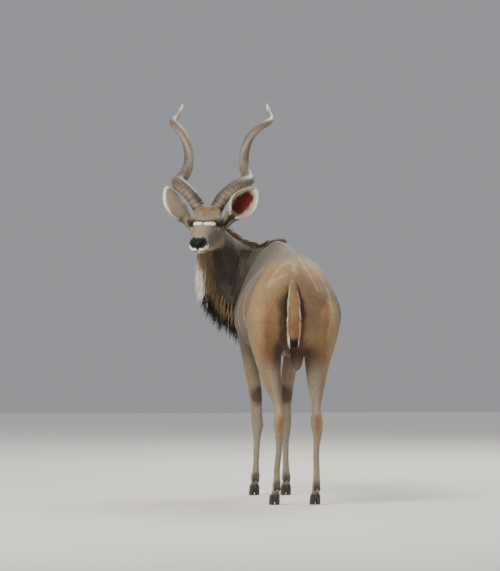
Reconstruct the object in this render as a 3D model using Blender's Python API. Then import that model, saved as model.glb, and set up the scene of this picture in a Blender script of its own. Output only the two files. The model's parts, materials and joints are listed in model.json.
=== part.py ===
"""Greater kudu bull, life size, standing with its neck bent round over its left shoulder.

Metres, +Z up. The animal faces +Y, its right side is +X, and its soles stand on z = 0.
The body is one form, merged from lofted tubes with named stations, shaped by muscle bulges and
creases, and parted into its nodes by thin plane cuts. Horns, ears, eyes and hooves are lofts.
"""

import math
import random

import bpy
import numpy as np
from mathutils import Vector

SEAM = 0.0003            # gap between two nodes that meet
BODY_VOXEL = 0.008
HEAD_VOXEL = 0.0040
BODY_TRIANGLES = 4700
HEAD_TRIANGLES = 3100

# Trunk: place along the body, top, bottom, half width, egg (narrower above), sideways shift
TRUNK = [
    (-0.790, 1.150, 0.960, 0.070, 0.10, -0.045),    # buttock
    (-0.765, 1.195, 0.900, 0.130, 0.12, -0.042),
    (-0.700, 1.255, 0.850, 0.185, 0.16, -0.036),
    (-0.600, 1.312, 0.815, 0.216, 0.18, -0.028),    # pin bones
    (-0.480, 1.336, 0.810, 0.226, 0.18, -0.018),    # croup
    (-0.340, 1.326, 0.835, 0.222, 0.16, -0.010),    # loin
    (-0.180, 1.312, 0.808, 0.256, 0.20, -0.002),
    (-0.020, 1.316, 0.780, 0.279, 0.26, 0.000),     # belly
    (0.140, 1.344, 0.768, 0.264, 0.32, 0.000),
    (0.280, 1.385, 0.772, 0.222, 0.38, -0.008),     # girth
    (0.370, 1.398, 0.785, 0.202, 0.38, -0.016),     # withers
    (0.460, 1.372, 0.822, 0.188, 0.32, -0.028),
    (0.560, 1.315, 0.880, 0.160, 0.20, -0.040),
    (0.640, 1.235, 0.960, 0.118, 0.10, -0.055),  # point of the chest
    (0.675, 1.180, 1.020, 0.068, 0.05, -0.062),
]

# Neck: centre, half depth (throat to nape), half width
NECK = [
    ((0.010, 0.360, 1.130), 0.235, 0.165),
    ((-0.020, 0.480, 1.145), 0.225, 0.150),
    ((-0.090, 0.585, 1.168), 0.205, 0.130),
    ((-0.190, 0.645, 1.212), 0.172, 0.112),      # middle of the neck
    ((-0.280, 0.640, 1.290), 0.138, 0.096),
    ((-0.345, 0.582, 1.378), 0.114, 0.084),
    ((-0.378, 0.505, 1.440), 0.101, 0.076),      # throat latch
    ((-0.392, 0.440, 1.474), 0.094, 0.070),
]

# Legs: centre x, y, z, half width, half depth
HIND_LEG = [
    (0.098, -0.560, 1.200, 0.055, 0.110),
    (0.128, -0.556, 1.020, 0.106, 0.205),
    (0.138, -0.540, 0.930, 0.100, 0.196),
    (0.140, -0.528, 0.850, 0.088, 0.165),        # stifle
    (0.136, -0.534, 0.770, 0.072, 0.124),
    (0.128, -0.560, 0.680, 0.056, 0.088),        # gaskin
    (0.118, -0.592, 0.590, 0.041, 0.062),
    (0.108, -0.622, 0.510, 0.026, 0.050),
    (0.102, -0.634, 0.445, 0.036, 0.050),        # hock
    (0.100, -0.628, 0.390, 0.030, 0.041),
    (0.098, -0.612, 0.320, 0.0210, 0.029),       # cannon
    (0.096, -0.598, 0.220, 0.0200, 0.026),
    (0.094, -0.588, 0.140, 0.0215, 0.027),
    (0.093, -0.580, 0.104, 0.0250, 0.031),       # fetlock
    (0.092, -0.562, 0.078, 0.0225, 0.027),
    (0.092, -0.545, 0.055, 0.0260, 0.032),       # coronet
    (0.092, -0.540, 0.030, 0.0260, 0.032),
]
FORE_LEG = [
    (0.140, 0.400, 1.080, 0.070, 0.120),
    (0.158, 0.420, 0.960, 0.074, 0.128),         # shoulder
    (0.162, 0.438, 0.860, 0.066, 0.112),
    (0.157, 0.450, 0.780, 0.055, 0.088),         # elbow
    (0.152, 0.464, 0.690, 0.043, 0.062),
    (0.132, 0.475, 0.590, 0.040, 0.048),         # forearm
    (0.122, 0.482, 0.490, 0.034, 0.039),
    (0.1195, 0.486, 0.425, 0.034, 0.038),
    (0.1155, 0.487, 0.385, 0.036, 0.038),         # knee
    (0.118, 0.484, 0.345, 0.029, 0.031),
    (0.120, 0.481, 0.290, 0.0215, 0.025),        # cannon
    (0.124, 0.479, 0.190, 0.0200, 0.024),
    (0.127, 0.478, 0.130, 0.0225, 0.027),
    (0.129, 0.480, 0.100, 0.0280, 0.033),        # fetlock
    (0.130, 0.495, 0.076, 0.0235, 0.028),
    (0.130, 0.512, 0.055, 0.0270, 0.033),        # coronet
    (0.130, 0.517, 0.030, 0.0270, 0.033),
]
HOOF_TOP = 0.048
HOOF_LENGTH, HOOF_WIDTH = 0.088, 0.060
# Each leg: its stations, side, and how far it leans sideways at some heights
FEET = {
    "left_foreleg": (FORE_LEG, -1, [(0.0, 0.0), (1.0, 0.0)]),
    "right_foreleg": (FORE_LEG, 1, [(0.0, -0.085), (0.10, -0.088), (0.29, -0.081), (0.39, -0.078),
                                    (0.59, -0.088), (0.69, -0.096), (0.78, -0.080), (0.86, -0.055),
                                    (0.96, -0.035), (1.10, -0.020)]),
    "left_hind_leg": (HIND_LEG, -1, [(0.0, -0.036), (0.10, -0.025), (0.20, -0.0225), (0.28, -0.011),
                                     (0.43, -0.007), (0.53, -0.005), (0.60, -0.011), (0.70, -0.021),
                                     (0.90, -0.028)]),
    "right_hind_leg": (HIND_LEG, 1, [(0.0, 0.0), (0.12, 0.001), (0.28, -0.007), (0.36, -0.004),
                                     (0.43, -0.011), (0.50, -0.018), (0.61, -0.027), (0.69, -0.032),
                                     (0.90, -0.028)]),
}
FORE_CUT, HIND_CUT = 0.742, 0.790

# Head: poll, the way the face points, and stations along the face from the poll to the nose
POLL = Vector((-0.385, 0.460, 1.536))
FACE_TURN = math.radians(15.0)      # of the face, from straight back over the left shoulder
FACE_DROP = math.radians(18.5)
HEAD = [
    # forward, top, bottom, half width, egg
    (-0.085, -0.020, -0.130, 0.040, 0.0),
    (-0.060, 0.006, -0.150, 0.062, 0.0),
    (-0.020, 0.034, -0.168, 0.080, 0.0),         # occiput
    (0.030, 0.046, -0.180, 0.087, -0.04),        # horn bases
    (0.080, 0.046, -0.180, 0.089, -0.06),
    (0.120, 0.041, -0.172, 0.088, -0.10),        # eyes
    (0.160, 0.033, -0.156, 0.079, -0.08),
    (0.205, 0.025, -0.138, 0.067, -0.02),        # cheek to muzzle
    (0.255, 0.017, -0.122, 0.057, 0.0),
    (0.305, 0.009, -0.110, 0.054, 0.0),
    (0.345, 0.002, -0.103, 0.054, 0.0),          # nostrils
    (0.375, -0.006, -0.096, 0.051, 0.0),
    (0.395, -0.018, -0.086, 0.039, 0.0),
    (0.405, -0.034, -0.072, 0.020, 0.0),         # nose
]
EYE = (0.0795, 0.122, -0.004)       # across, forward, up in the head
EYE_RADIUS = 0.0205
HORN_BASE = (0.036, 0.036, 0.028)   # across, forward, up in the head
EAR_BASE = (0.110, 0.004, -0.020)
EAR_LENGTH, EAR_HALF_WIDTH, EAR_THICKNESS = 0.215, 0.070, 0.0070
EAR_ROOT = -0.28                    # share of its length that an ear starts below its base

# Horns: open corkscrews, each the mirror of the other
HORN_RISE = math.radians(42.0)
HORN_STRAIGHT = 0.935
HORN_TURNS = 1.85
HORN_COIL = 0.050
HORN_FORWARD = 0.062
HORN_DRIFT = [(0.0, 0.085), (0.10, 0.128), (0.27, 0.150), (0.52, 0.205), (0.78, 0.236), (0.935, 0.260)]
HORN_RADIUS = [(0.0, 0.0365), (0.10, 0.0345), (0.30, 0.0295), (0.52, 0.0250), (0.78, 0.0175),
               (0.90, 0.0085), (0.935, 0.0030)]
HORN_KEEL = 0.22
HORN_ROWS, HORN_SIDES = 36, 8

# Tail under its hair: centre y and z, half width, half thickness
TAIL_SIDE = -0.052
TAIL = [
    (-0.755, 1.185, 0.021, 0.020),
    (-0.790, 1.165, 0.024, 0.018),
    (-0.815, 1.120, 0.026, 0.016),
    (-0.825, 1.060, 0.026, 0.015),
    (-0.826, 1.000, 0.024, 0.014),
    (-0.824, 0.945, 0.020, 0.013),
    (-0.822, 0.905, 0.014, 0.011),
    (-0.820, 0.885, 0.006, 0.006),
]

# Locks: throat mane, nape mane and tail fringe
LOCK_SEED = 7
LOCK_SHAPE = [(0.0, 0.80), (0.30, 1.0), (0.62, 0.80), (0.86, 0.46), (1.0, 0.10)]
SHORT_LOCK_SHAPE = [(0.0, 0.85), (0.40, 1.0), (0.78, 0.62), (1.0, 0.10)]
LOCK_THICKNESS = 0.0085
BEARD_PLACES, BEARD_ROWS = 14, 3
BEARD_LENGTH = [(0.0, 0.125), (0.2, 0.155), (0.5, 0.135), (0.8, 0.095), (1.0, 0.075)]
BEARD_WIDTH = 0.052
BEARD_RIDGE = 0.024      # height of the fold of skin that the throat mane grows from
MANE_PLACES, MANE_ROWS = 12, 2
MANE_LENGTH, MANE_WIDTH = 0.068, 0.046
TAIL_PLACES = 6
TAIL_LOCK_LENGTH, TAIL_LOCK_WIDTH = 0.085, 0.024

COAT = (0.30, 0.25, 0.20)
LEG_COAT = (0.50, 0.44, 0.37)
HORN_BROWN = (0.22, 0.17, 0.13)
HOOF_BLACK = (0.03, 0.028, 0.026)
EYE_BLACK = (0.02, 0.012, 0.008)


def clear_scene():
    """Empty the scene of its objects."""
    for obj in list(bpy.data.objects):
        bpy.data.objects.remove(obj, do_unlink=True)


def material(name, colour, roughness):
    """A plain Principled material."""
    made = bpy.data.materials.new(name)
    made.use_nodes = True
    shader = made.node_tree.nodes["Principled BSDF"]
    shader.inputs["Base Color"].default_value = (*colour, 1.0)
    shader.inputs["Roughness"].default_value = roughness
    made.diffuse_color = (*colour, 1.0)
    return made


def new_object(name, points, faces):
    """A mesh object from points and faces."""
    mesh = bpy.data.meshes.new(name)
    mesh.from_pydata([tuple(p) for p in points], [], faces)
    mesh.update()
    obj = bpy.data.objects.new(name, mesh)
    bpy.context.scene.collection.objects.link(obj)
    return obj


def remove(obj):
    """Drop an object that has served its purpose."""
    bpy.data.objects.remove(obj, do_unlink=True)


def apply_modifiers(obj):
    """Turn the object's modifiers into its mesh."""
    bpy.context.view_layer.update()
    graph = bpy.context.evaluated_depsgraph_get()
    mesh = bpy.data.meshes.new_from_object(obj.evaluated_get(graph))
    obj.modifiers.clear()
    obj.data = mesh
    return obj


def between(pairs, place):
    """Value at a place along a list of (place, value) pairs."""
    return float(np.interp(place, [p[0] for p in pairs], [p[1] for p in pairs]))


def smooth_rows(rows, steps):
    """Rows of numbers with smoothly curved rows put between them."""
    table = np.array(rows, dtype=float)
    first = 2 * table[0] - table[1]
    last = 2 * table[-1] - table[-2]
    padded = np.vstack([first, table, last])
    made = []
    for index in range(len(table) - 1):
        a, b, c, d = padded[index:index + 4]
        for step in range(steps):
            t = step / steps
            made.append(0.5 * (2 * b + (c - a) * t + (2 * a - 5 * b + 4 * c - d) * t * t
                               + (3 * b - a - 3 * c + d) * t ** 3))
    made.append(table[-1])
    return made


def ring(centre, across, up, half_across, half_up, count, egg=0.0):
    """An oval ring of points, narrower above by egg."""
    points = []
    for index in range(count):
        turn = 2 * math.pi * index / count
        side = math.cos(turn) * half_across * (1 - egg * math.sin(turn))
        points.append(centre + across * side + up * (math.sin(turn) * half_up))
    return points


def loft(name, rings):
    """A closed skin over rings of equal count."""
    count = len(rings[0])
    points = [p for one in rings for p in one]
    faces = []
    for row in range(len(rings) - 1):
        for index in range(count):
            after = (index + 1) % count
            low, high = row * count, (row + 1) * count
            faces.append((low + index, low + after, high + after, high + index))
    faces.append(tuple(reversed(range(count))))
    faces.append(tuple(range((len(rings) - 1) * count, len(rings) * count)))
    obj = new_object(name, points, faces)
    return face_outward(obj)


def face_outward(obj):
    """Turn the faces outward by the sign of the enclosed volume."""
    mesh = obj.data
    volume = 0.0
    for face in mesh.polygons:
        corners = [mesh.vertices[i].co for i in face.vertices]
        for index in range(1, len(corners) - 1):
            volume += corners[0].dot(corners[index].cross(corners[index + 1]))
    if volume < 0:
        mesh.flip_normals()
    return obj


def ball(name, centre, radii, rows=10, sides=16):
    """A closed ball with a radius for each axis."""
    rings = []
    for row in range(1, rows):
        tilt = math.pi * row / rows
        rings.append([centre + Vector((radii[0] * math.sin(tilt) * math.cos(2 * math.pi * i / sides),
                                       radii[1] * math.sin(tilt) * math.sin(2 * math.pi * i / sides),
                                       radii[2] * math.cos(tilt))) for i in range(sides)])
    points = [p for one in rings for p in one]
    top = len(points)
    points.append(centre + Vector((0, 0, radii[2])))
    points.append(centre - Vector((0, 0, radii[2])))
    faces = []
    for row in range(len(rings) - 1):
        for i in range(sides):
            j = (i + 1) % sides
            faces.append((row * sides + i, row * sides + j, (row + 1) * sides + j, (row + 1) * sides + i))
    last = (len(rings) - 1) * sides
    for i in range(sides):
        j = (i + 1) % sides
        faces.append((top, j, i))
        faces.append((top + 1, last + i, last + j))
    return face_outward(new_object(name, points, faces))


def merge(name, pieces, voxel, rounds, pull=0.5):
    """One closed skin around overlapping pieces, smoothed a little."""
    points, faces = [], []
    for piece in pieces:
        start = len(points)
        points.extend(v.co.copy() for v in piece.data.vertices)
        faces.extend(tuple(start + i for i in face.vertices) for face in piece.data.polygons)
        remove(piece)
    obj = new_object(name, points, faces)
    remesh = obj.modifiers.new("Merge", "REMESH")
    remesh.mode = "VOXEL"
    remesh.voxel_size = voxel
    apply_modifiers(obj)
    smooth(obj, rounds, pull)
    return keep_largest(obj)


def smooth(obj, rounds, pull):
    """Even out the skin, each point drawn towards its neighbours."""
    mesh = obj.data
    points = read_points(mesh)
    edges = np.empty(len(mesh.edges) * 2, dtype=np.int32)
    mesh.edges.foreach_get("vertices", edges)
    edges = edges.reshape(-1, 2)
    count = np.bincount(edges.ravel(), minlength=len(points))[:, None]
    for index in range(rounds * 2):
        total = np.zeros_like(points)
        np.add.at(total, edges[:, 0], points[edges[:, 1]])
        np.add.at(total, edges[:, 1], points[edges[:, 0]])
        # a pull in, then a slightly larger push out, so that thin limbs keep their girth
        share = pull if index % 2 == 0 else -pull * 1.04
        points = points + share * (total / np.maximum(count, 1) - points)
    write_points(mesh, points)


def read_points(mesh):
    """The mesh's points as rows of numbers."""
    points = np.empty(len(mesh.vertices) * 3)
    mesh.vertices.foreach_get("co", points)
    return points.reshape(-1, 3)


def write_points(mesh, points):
    """Put rows of numbers back as the mesh's points."""
    mesh.vertices.foreach_set("co", points.ravel())
    mesh.update()


def read_normals(mesh):
    """The mesh's outward directions at its points."""
    normals = np.empty(len(mesh.vertices) * 3)
    mesh.vertex_normals.foreach_get("vector", normals)
    return normals.reshape(-1, 3)


def keep_largest(obj):
    """Keep only the closed surface with the most faces."""
    mesh = obj.data
    parent = np.arange(len(mesh.vertices))
    edges = np.empty(len(mesh.edges) * 2, dtype=np.int32)
    mesh.edges.foreach_get("vertices", edges)
    edges = edges.reshape(-1, 2)
    changed = True
    while changed:
        low = np.minimum(parent[edges[:, 0]], parent[edges[:, 1]])
        before = parent.copy()
        np.minimum.at(parent, edges[:, 0], low)
        np.minimum.at(parent, edges[:, 1], low)
        parent = parent[parent]
        changed = bool(np.any(before != parent))
    labels, counts = np.unique(parent, return_counts=True)
    if len(labels) < 2:
        return obj
    keep = parent == labels[np.argmax(counts)]
    renumber = np.cumsum(keep) - 1
    points = read_points(mesh)[keep]
    faces = [tuple(int(renumber[i]) for i in face.vertices) for face in mesh.polygons
             if keep[face.vertices[0]]]
    name = obj.name
    fresh = bpy.data.meshes.new(name)
    fresh.from_pydata([tuple(p) for p in points], [], faces)
    fresh.update()
    obj.data = fresh
    return obj


def thin_out(obj, triangles):
    """Fewer triangles, as many as asked for."""
    have = sum(len(face.vertices) - 2 for face in obj.data.polygons)
    if have <= triangles:
        return obj
    fewer = obj.modifiers.new("Fewer", "DECIMATE")
    fewer.ratio = triangles / have
    fewer.use_collapse_triangulate = True
    return apply_modifiers(obj)


def cut(obj, tools, operation="DIFFERENCE", solver="EXACT", keep_tools=False):
    """Boolean of the object with one or more tools."""
    group = bpy.data.collections.new("tools")
    bpy.context.scene.collection.children.link(group)
    for tool in tools:
        group.objects.link(tool)
    change = obj.modifiers.new("Cut", "BOOLEAN")
    change.operation = operation
    change.operand_type = "COLLECTION"
    change.collection = group
    change.solver = solver
    apply_modifiers(obj)
    for tool in tools:
        group.objects.unlink(tool)
        if not keep_tools:
            remove(tool)
    bpy.data.collections.remove(group)
    return keep_largest(obj)


def copy_of(obj, name, swell=0.0):
    """A copy of the object, its skin moved outward by swell."""
    mesh = obj.data.copy()
    twin = bpy.data.objects.new(name, mesh)
    bpy.context.scene.collection.objects.link(twin)
    if swell:
        write_points(mesh, read_points(mesh) + read_normals(mesh) * swell)
    return twin


def block(name, centre, sizes, axes=None):
    """A box about a centre, along its own axes."""
    axes = axes or (Vector((1, 0, 0)), Vector((0, 1, 0)), Vector((0, 0, 1)))
    points = []
    for z in (-0.5, 0.5):
        for x, y in ((-0.5, -0.5), (0.5, -0.5), (0.5, 0.5), (-0.5, 0.5)):
            points.append(centre + axes[0] * (x * sizes[0]) + axes[1] * (y * sizes[1])
                          + axes[2] * (z * sizes[2]))
    faces = [(3, 2, 1, 0), (4, 5, 6, 7), (0, 1, 5, 4), (1, 2, 6, 5), (2, 3, 7, 6), (3, 0, 4, 7)]
    return face_outward(new_object(name, points, faces))


def half_space(name, point, normal, size=3.0):
    """A large block on the side of a plane that the normal points to."""
    normal = normal.normalized()
    across = normal.orthogonal().normalized()
    up = normal.cross(across)
    return block(name, point + normal * (size / 2), (size, size, size), (across, up, normal))


def sculpt(obj, bumps, grooves=()):
    """Raise bumps and sink grooves along the skin's normals."""
    mesh = obj.data
    points, normals = read_points(mesh), read_normals(mesh)
    shift = np.zeros(len(points))
    for centre, radii, height in bumps:
        away = (points - np.array(centre)) / np.array(radii)
        shift += height * np.exp(-np.sum(away * away, axis=1))
    for line, radius, height in grooves:
        shift += height * np.exp(-(line_distance(points, line) / radius) ** 2)
    write_points(mesh, points + normals * shift[:, None])


def line_distance(points, line):
    """Distance of each point from a line of straight pieces."""
    nearest = np.full(len(points), 1e9)
    for start, end in zip(line[:-1], line[1:]):
        start, end = np.array(start), np.array(end)
        along = end - start
        t = np.clip((points - start) @ along / max(along @ along, 1e-12), 0, 1)
        away = points - (start + t[:, None] * along)
        nearest = np.minimum(nearest, np.sqrt(np.sum(away * away, axis=1)))
    return nearest


# The head's own directions
FACE = Vector((-math.sin(FACE_TURN) * math.cos(FACE_DROP),
               -math.cos(FACE_TURN) * math.cos(FACE_DROP), -math.sin(FACE_DROP)))
HEAD_RIGHT = FACE.cross(Vector((0, 0, 1))).normalized()
HEAD_UP = HEAD_RIGHT.cross(FACE).normalized()


def in_head(across, forward, up):
    """A place given in the head's own directions; across is positive to the animal's right."""
    return POLL + HEAD_RIGHT * across + FACE * forward + HEAD_UP * up


def neck_frames(steps=4):
    """Centre, way on, way to the nape, sideways, half depth and half width along the neck."""
    rows = smooth_rows([(*c, d, w) for c, d, w in NECK], steps)
    frames = []
    for index, row in enumerate(rows):
        before, after = rows[max(index - 1, 0)], rows[min(index + 1, len(rows) - 1)]
        onward = Vector(after[:3] - before[:3]).normalized()
        side = onward.cross(Vector((0, 0, 1))).normalized()
        nape = side.cross(onward).normalized()
        frames.append((Vector(row[:3]), onward, nape, side, row[3], row[4]))
    return frames


def trunk_tube():
    """Rib cage, loin and croup."""
    rings = []
    for y, top, bottom, half, egg, shift in smooth_rows(TRUNK, 3):
        rings.append(ring(Vector((shift, y, (top + bottom) / 2)), Vector((1, 0, 0)),
                          Vector((0, 0, 1)), half, (top - bottom) / 2, 40, egg))
    return loft("trunk", rings)


def neck_tube():
    """The neck from inside the chest to inside the skull."""
    rings = [ring(centre, side, nape, width, depth, 32, 0.12)
             for centre, _, nape, side, depth, width in neck_frames()]
    return loft("neck", rings)


def leg_centre(side, lean, row):
    """Where a leg's station stands: mirrored, and leant sideways as this leg is."""
    x, y, z = row[0], row[1], row[2]
    return Vector((side * x + between(lean, z), y, z))


def leg_tube(name):
    """One leg from inside the trunk to the coronet."""
    stations, side, lean = FEET[name]
    rings = []
    for row in smooth_rows(stations, 3):
        rings.append(ring(leg_centre(side, lean, row), Vector((1, 0, 0)),
                          Vector((0, 1, 0)), row[3], row[4], 24))
    return loft(name, rings)


def head_tube():
    """Skull and muzzle."""
    rings = []
    for forward, top, bottom, half, egg in smooth_rows(HEAD, 3):
        centre = in_head(0, forward, (top + bottom) / 2)
        rings.append(ring(centre, HEAD_RIGHT, HEAD_UP, half, (top - bottom) / 2, 32, egg))
    return loft("head", rings)


def horn_axis():
    """The straight line that a horn winds about: back and up from the poll."""
    level = Vector((FACE.x, FACE.y, 0)).normalized()
    axis = -level * math.cos(HORN_RISE) + Vector((0, 0, 1)) * math.sin(HORN_RISE)
    axis = (axis + HEAD_RIGHT * 0.030).normalized()
    ahead = (level * math.sin(HORN_RISE) + Vector((0, 0, 1)) * math.cos(HORN_RISE)).normalized()
    return axis, ahead


def horn_point(side, place):
    """A point on a horn's middle line, and its turn, at a place along the straight axis."""
    axis, ahead = horn_axis()
    turn = 2 * math.pi * HORN_TURNS * place / HORN_STRAIGHT
    fade = min(place / 0.06, 1.0)
    coil = HORN_COIL * (1 - 0.25 * place / HORN_STRAIGHT)
    across = between(HORN_DRIFT, place) - coil * math.cos(turn)
    forward = HORN_FORWARD * (1 - 0.35 * place / HORN_STRAIGHT) * math.sin(turn) * fade
    start = in_head(0, HORN_BASE[1], HORN_BASE[2])
    return start + axis * place + HEAD_RIGHT * (side * across) + ahead * forward, turn


def horn_rings(side, places, swell=0.0, sides=HORN_SIDES):
    """Rings of a horn with a keel that follows the winding."""
    rings = []
    for place in places:
        centre, turn = horn_point(side, place)
        onward = (horn_point(side, place + 0.004)[0] - horn_point(side, place - 0.004)[0]).normalized()
        first = (HEAD_RIGHT * side - onward * onward.dot(HEAD_RIGHT * side)).normalized()
        second = onward.cross(first) * side
        radius = between(HORN_RADIUS, place) + swell
        points = []
        for index in range(sides):
            angle = 2 * math.pi * index / sides
            keel = 1 + HORN_KEEL * max(0.0, math.cos(angle)) ** 6
            way = angle + math.radians(100) - turn
            points.append(centre + (first * math.cos(way) + second * math.sin(way)) * radius * keel)
        rings.append(points)
    return rings


def horn_cut_plane(side):
    """Where horn meets skin: a point and the way out along the horn."""
    point = horn_point(side, 0.030)[0]
    onward = (horn_point(side, 0.034)[0] - horn_point(side, 0.026)[0]).normalized()
    return point, onward


def horn_stub(side):
    """The skin around the foot of a horn, merged with the skull."""
    places = [-0.030, -0.010, 0.010, 0.030, 0.045]
    return loft("stub", horn_rings(side, places, 0.0035, 16))


def horn(name, side):
    """One horn, from just off its skin to the tip."""
    point, onward = horn_cut_plane(side)
    places = [0.012] + [0.030 + (HORN_STRAIGHT - 0.030) * (i / HORN_ROWS) ** 0.98
                        for i in range(HORN_ROWS + 1)]
    obj = loft(name, horn_rings(side, places))
    return cut(obj, [half_space("below", point + onward * SEAM, -onward, 1.0)])


def ear_frame(side):
    """Base, way to the tip, way that the cup opens, and sideways, for an ear."""
    base = in_head(EAR_BASE[0] * side, EAR_BASE[1], EAR_BASE[2])
    if side < 0:
        along = Vector((0.144, -0.030, 0.166)).normalized()
        opens = Vector((0.10, -0.98, 0.05))
    else:
        along = Vector((-0.116, 0.055, 0.160)).normalized()
        opens = Vector((-0.72, 0.62, -0.25))
    opens = (opens - along * opens.dot(along)).normalized()
    return base, along, opens, along.cross(opens).normalized()


def ear(name, side, rows=10, columns=7):
    """A cupped leaf, closed to a tube at its foot and open towards its tip."""
    base, along, opens, sideways = ear_frame(side)
    outline = [(-0.28, 0.30), (0.0, 0.38), (0.10, 0.48), (0.25, 0.72), (0.42, 0.96), (0.55, 1.0), (0.70, 0.90),
               (0.84, 0.62), (0.94, 0.32), (1.0, 0.10)]
    closing = [(0.0, 150.0), (0.12, 140.0), (0.28, 105.0), (0.45, 84.0), (0.65, 72.0), (1.0, 50.0)]
    rings = []
    for row in range(rows + 1):
        place = EAR_ROOT + (1 - EAR_ROOT) * row / rows
        reach = math.radians(between(closing, place))
        half = EAR_HALF_WIDTH * between(outline, place)
        radius = half / math.sin(min(reach, math.pi / 2))
        depth = -0.35 * radius * (1 - math.cos(min(reach, math.pi / 2)))
        centre = base + along * (EAR_LENGTH * place) + opens * (radius + depth - 0.010 * place)
        thick = EAR_THICKNESS * (1.15 - 0.5 * place) / 2
        outer, inner = [], []
        for column in range(columns + 1):
            angle = reach * (2 * column / columns - 1)
            way = sideways * math.sin(angle) - opens * math.cos(angle)
            outer.append(centre + way * (radius + thick))
            inner.append(centre + way * (radius - thick))
        rings.append(outer + list(reversed(inner)))
    return loft(name, rings)


def eye(name, side):
    """An eyeball."""
    centre = in_head(EYE[0] * side, EYE[1], EYE[2])
    return ball(name, centre, (EYE_RADIUS,) * 3, 7, 12)


def claw(name, centre, side):
    """One claw of a cloven hoof, its flat sole on the floor."""
    rings = []
    # height, length share, width share, how far back the middle sits
    for z, long, wide, back in ((0.0, 1.0, 1.0, 0.0),
                                (0.028, 0.90, 0.96, 0.006), (HOOF_TOP + 0.004, 0.74, 0.90, 0.015)):
        points = []
        for index in range(11):
            turn = 2 * math.pi * index / 11
            y = math.sin(turn) * HOOF_LENGTH / 2 * long
            taper = 1 - 0.42 * max(0.0, math.sin(turn)) ** 2
            x = math.cos(turn) * HOOF_WIDTH / 4 * wide * taper
            if x * side < 0:
                x *= 0.85
            points.append(Vector((centre.x + side * (HOOF_WIDTH / 4 - 0.0012) + x + side * y * 0.07,
                                  centre.y + y - back, z)))
        rings.append(points)
    return loft(name, rings)


def hoof(name, leg):
    """A cloven hoof: two claws joined under the coronet."""
    stations, side, lean = FEET[leg]
    sole = leg_centre(side, lean, stations[-1])
    sole = Vector((sole.x, sole.y + 0.012, 0))
    right = claw(name, sole, 1)
    left = claw("claw", sole, -1)
    bridge = loft("bridge", [ring(sole + Vector((0, -0.020, z)), Vector((1, 0, 0)), Vector((0, 1, 0)),
                                  HOOF_WIDTH * 0.40, HOOF_LENGTH * 0.24, 10)
                             for z in (0.022, 0.034, HOOF_TOP + 0.004)])
    cut(right, [left, bridge], "UNION")
    return cut(right, [half_space("above", Vector((0, 0, HOOF_TOP - SEAM)), Vector((0, 0, 1)))])


def tail(name):
    """The tail under its hair."""
    rows = smooth_rows(TAIL, 2)
    rings = []
    for index, (y, z, half, thick) in enumerate(rows):
        before, after = rows[max(index - 1, 0)], rows[min(index + 1, len(rows) - 1)]
        onward = Vector((0, after[0] - before[0], after[1] - before[1])).normalized()
        out = Vector((1, 0, 0)).cross(onward).normalized()
        rings.append(ring(Vector((TAIL_SIDE, y, z)), Vector((1, 0, 0)), out, half, thick, 12))
    return loft(name, rings)


def throat_line(first, last, count):
    """Places along the throat, with the neck's directions there."""
    frames = neck_frames(8)
    made = []
    for index in range(count):
        frame = frames[int(round((first + (last - first) * index / (count - 1)) * (len(frames) - 1)))]
        made.append((frame[0] - frame[2] * frame[4], frame))
    return made


def beard_fold():
    """The low fold of skin along the throat that the throat mane grows from."""
    rings = []
    for place, frame in throat_line(0.20, 0.94, 12):
        middle = place - frame[2] * (BEARD_RIDGE - 0.022)
        rings.append(ring(middle, frame[3], frame[2], 0.024, 0.022, 12))
    return loft("fold", rings)


def crest_fold():
    """The low ridge along the nape that the nape mane grows from."""
    rings = []
    for centre, _, nape, side, depth, _ in neck_frames(2)[3:]:
        rings.append(ring(centre + nape * (depth - 0.008), side, nape, 0.018, 0.020, 10))
    return loft("crest", rings)


def lock(root, way, wide, length, width, droop, curl, shape=LOCK_SHAPE):
    """One flat, tapered lock that bends along its lie."""
    rings = []
    for place, share in shape:
        centre = (root + way * (length * place) + droop * (length * place * place)
                  + wide * (curl * length * math.sin(math.pi * 0.5 * place) ** 2))
        onward = (way + droop * (2 * place)).normalized()
        flat = (wide - onward * wide.dot(onward)).normalized()
        thick = onward.cross(flat).normalized()
        half, deep = width * share / 2, LOCK_THICKNESS * (0.55 + 0.45 * share) / 2
        rings.append([centre + flat * half, centre + thick * deep,
                      centre - flat * half, centre - thick * deep])
    return loft("lock", rings)


def beard_locks():
    """The throat mane, hanging from the chin to the chest; told apart by the head's cut."""
    chance = random.Random(LOCK_SEED)
    made = []
    point, way_out = head_cut()
    for index, (place, frame) in enumerate(throat_line(0.17, 0.97, BEARD_PLACES)):
        share = index / (BEARD_PLACES - 1)
        for row in range(BEARD_ROWS):
            across = (row - (BEARD_ROWS - 1) / 2) * 0.020
            shift = frame[1] * (chance.uniform(-0.010, 0.010) + 0.012 * (row % 2))
            root = place + frame[3] * across + shift + frame[2] * 0.002
            way = (-frame[2] * 0.85 - frame[1] * 0.22 + frame[3] * (across * 7)
                   + Vector((0, 0, -0.50))).normalized()
            length = between(BEARD_LENGTH, share) * chance.uniform(0.86, 1.10)
            if row != 1:
                length *= 0.84
            piece = lock(root, way, frame[1], length, BEARD_WIDTH * chance.uniform(0.85, 1.1),
                         Vector((0, 0, -0.40)), chance.uniform(-0.26, 0.06))
            made.append((piece, (root - point).dot(way_out)))
    return made


def chin_locks():
    """The start of the throat mane under the jaw."""
    chance = random.Random(LOCK_SEED + 1)
    made = []
    for index in range(4):
        forward = 0.075 + 0.055 * index
        bottom = between([(row[0], row[2]) for row in HEAD], forward)
        root = in_head(0.008 * (-1) ** index, forward, bottom + 0.010)
        way = (-HEAD_UP * 0.8 - FACE * 0.45).normalized()
        made.append(lock(root, way, FACE, 0.055 * chance.uniform(0.85, 1.1), 0.036,
                         Vector((0, 0, -0.25)), chance.uniform(-0.1, 0.1)))
    return made


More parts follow.
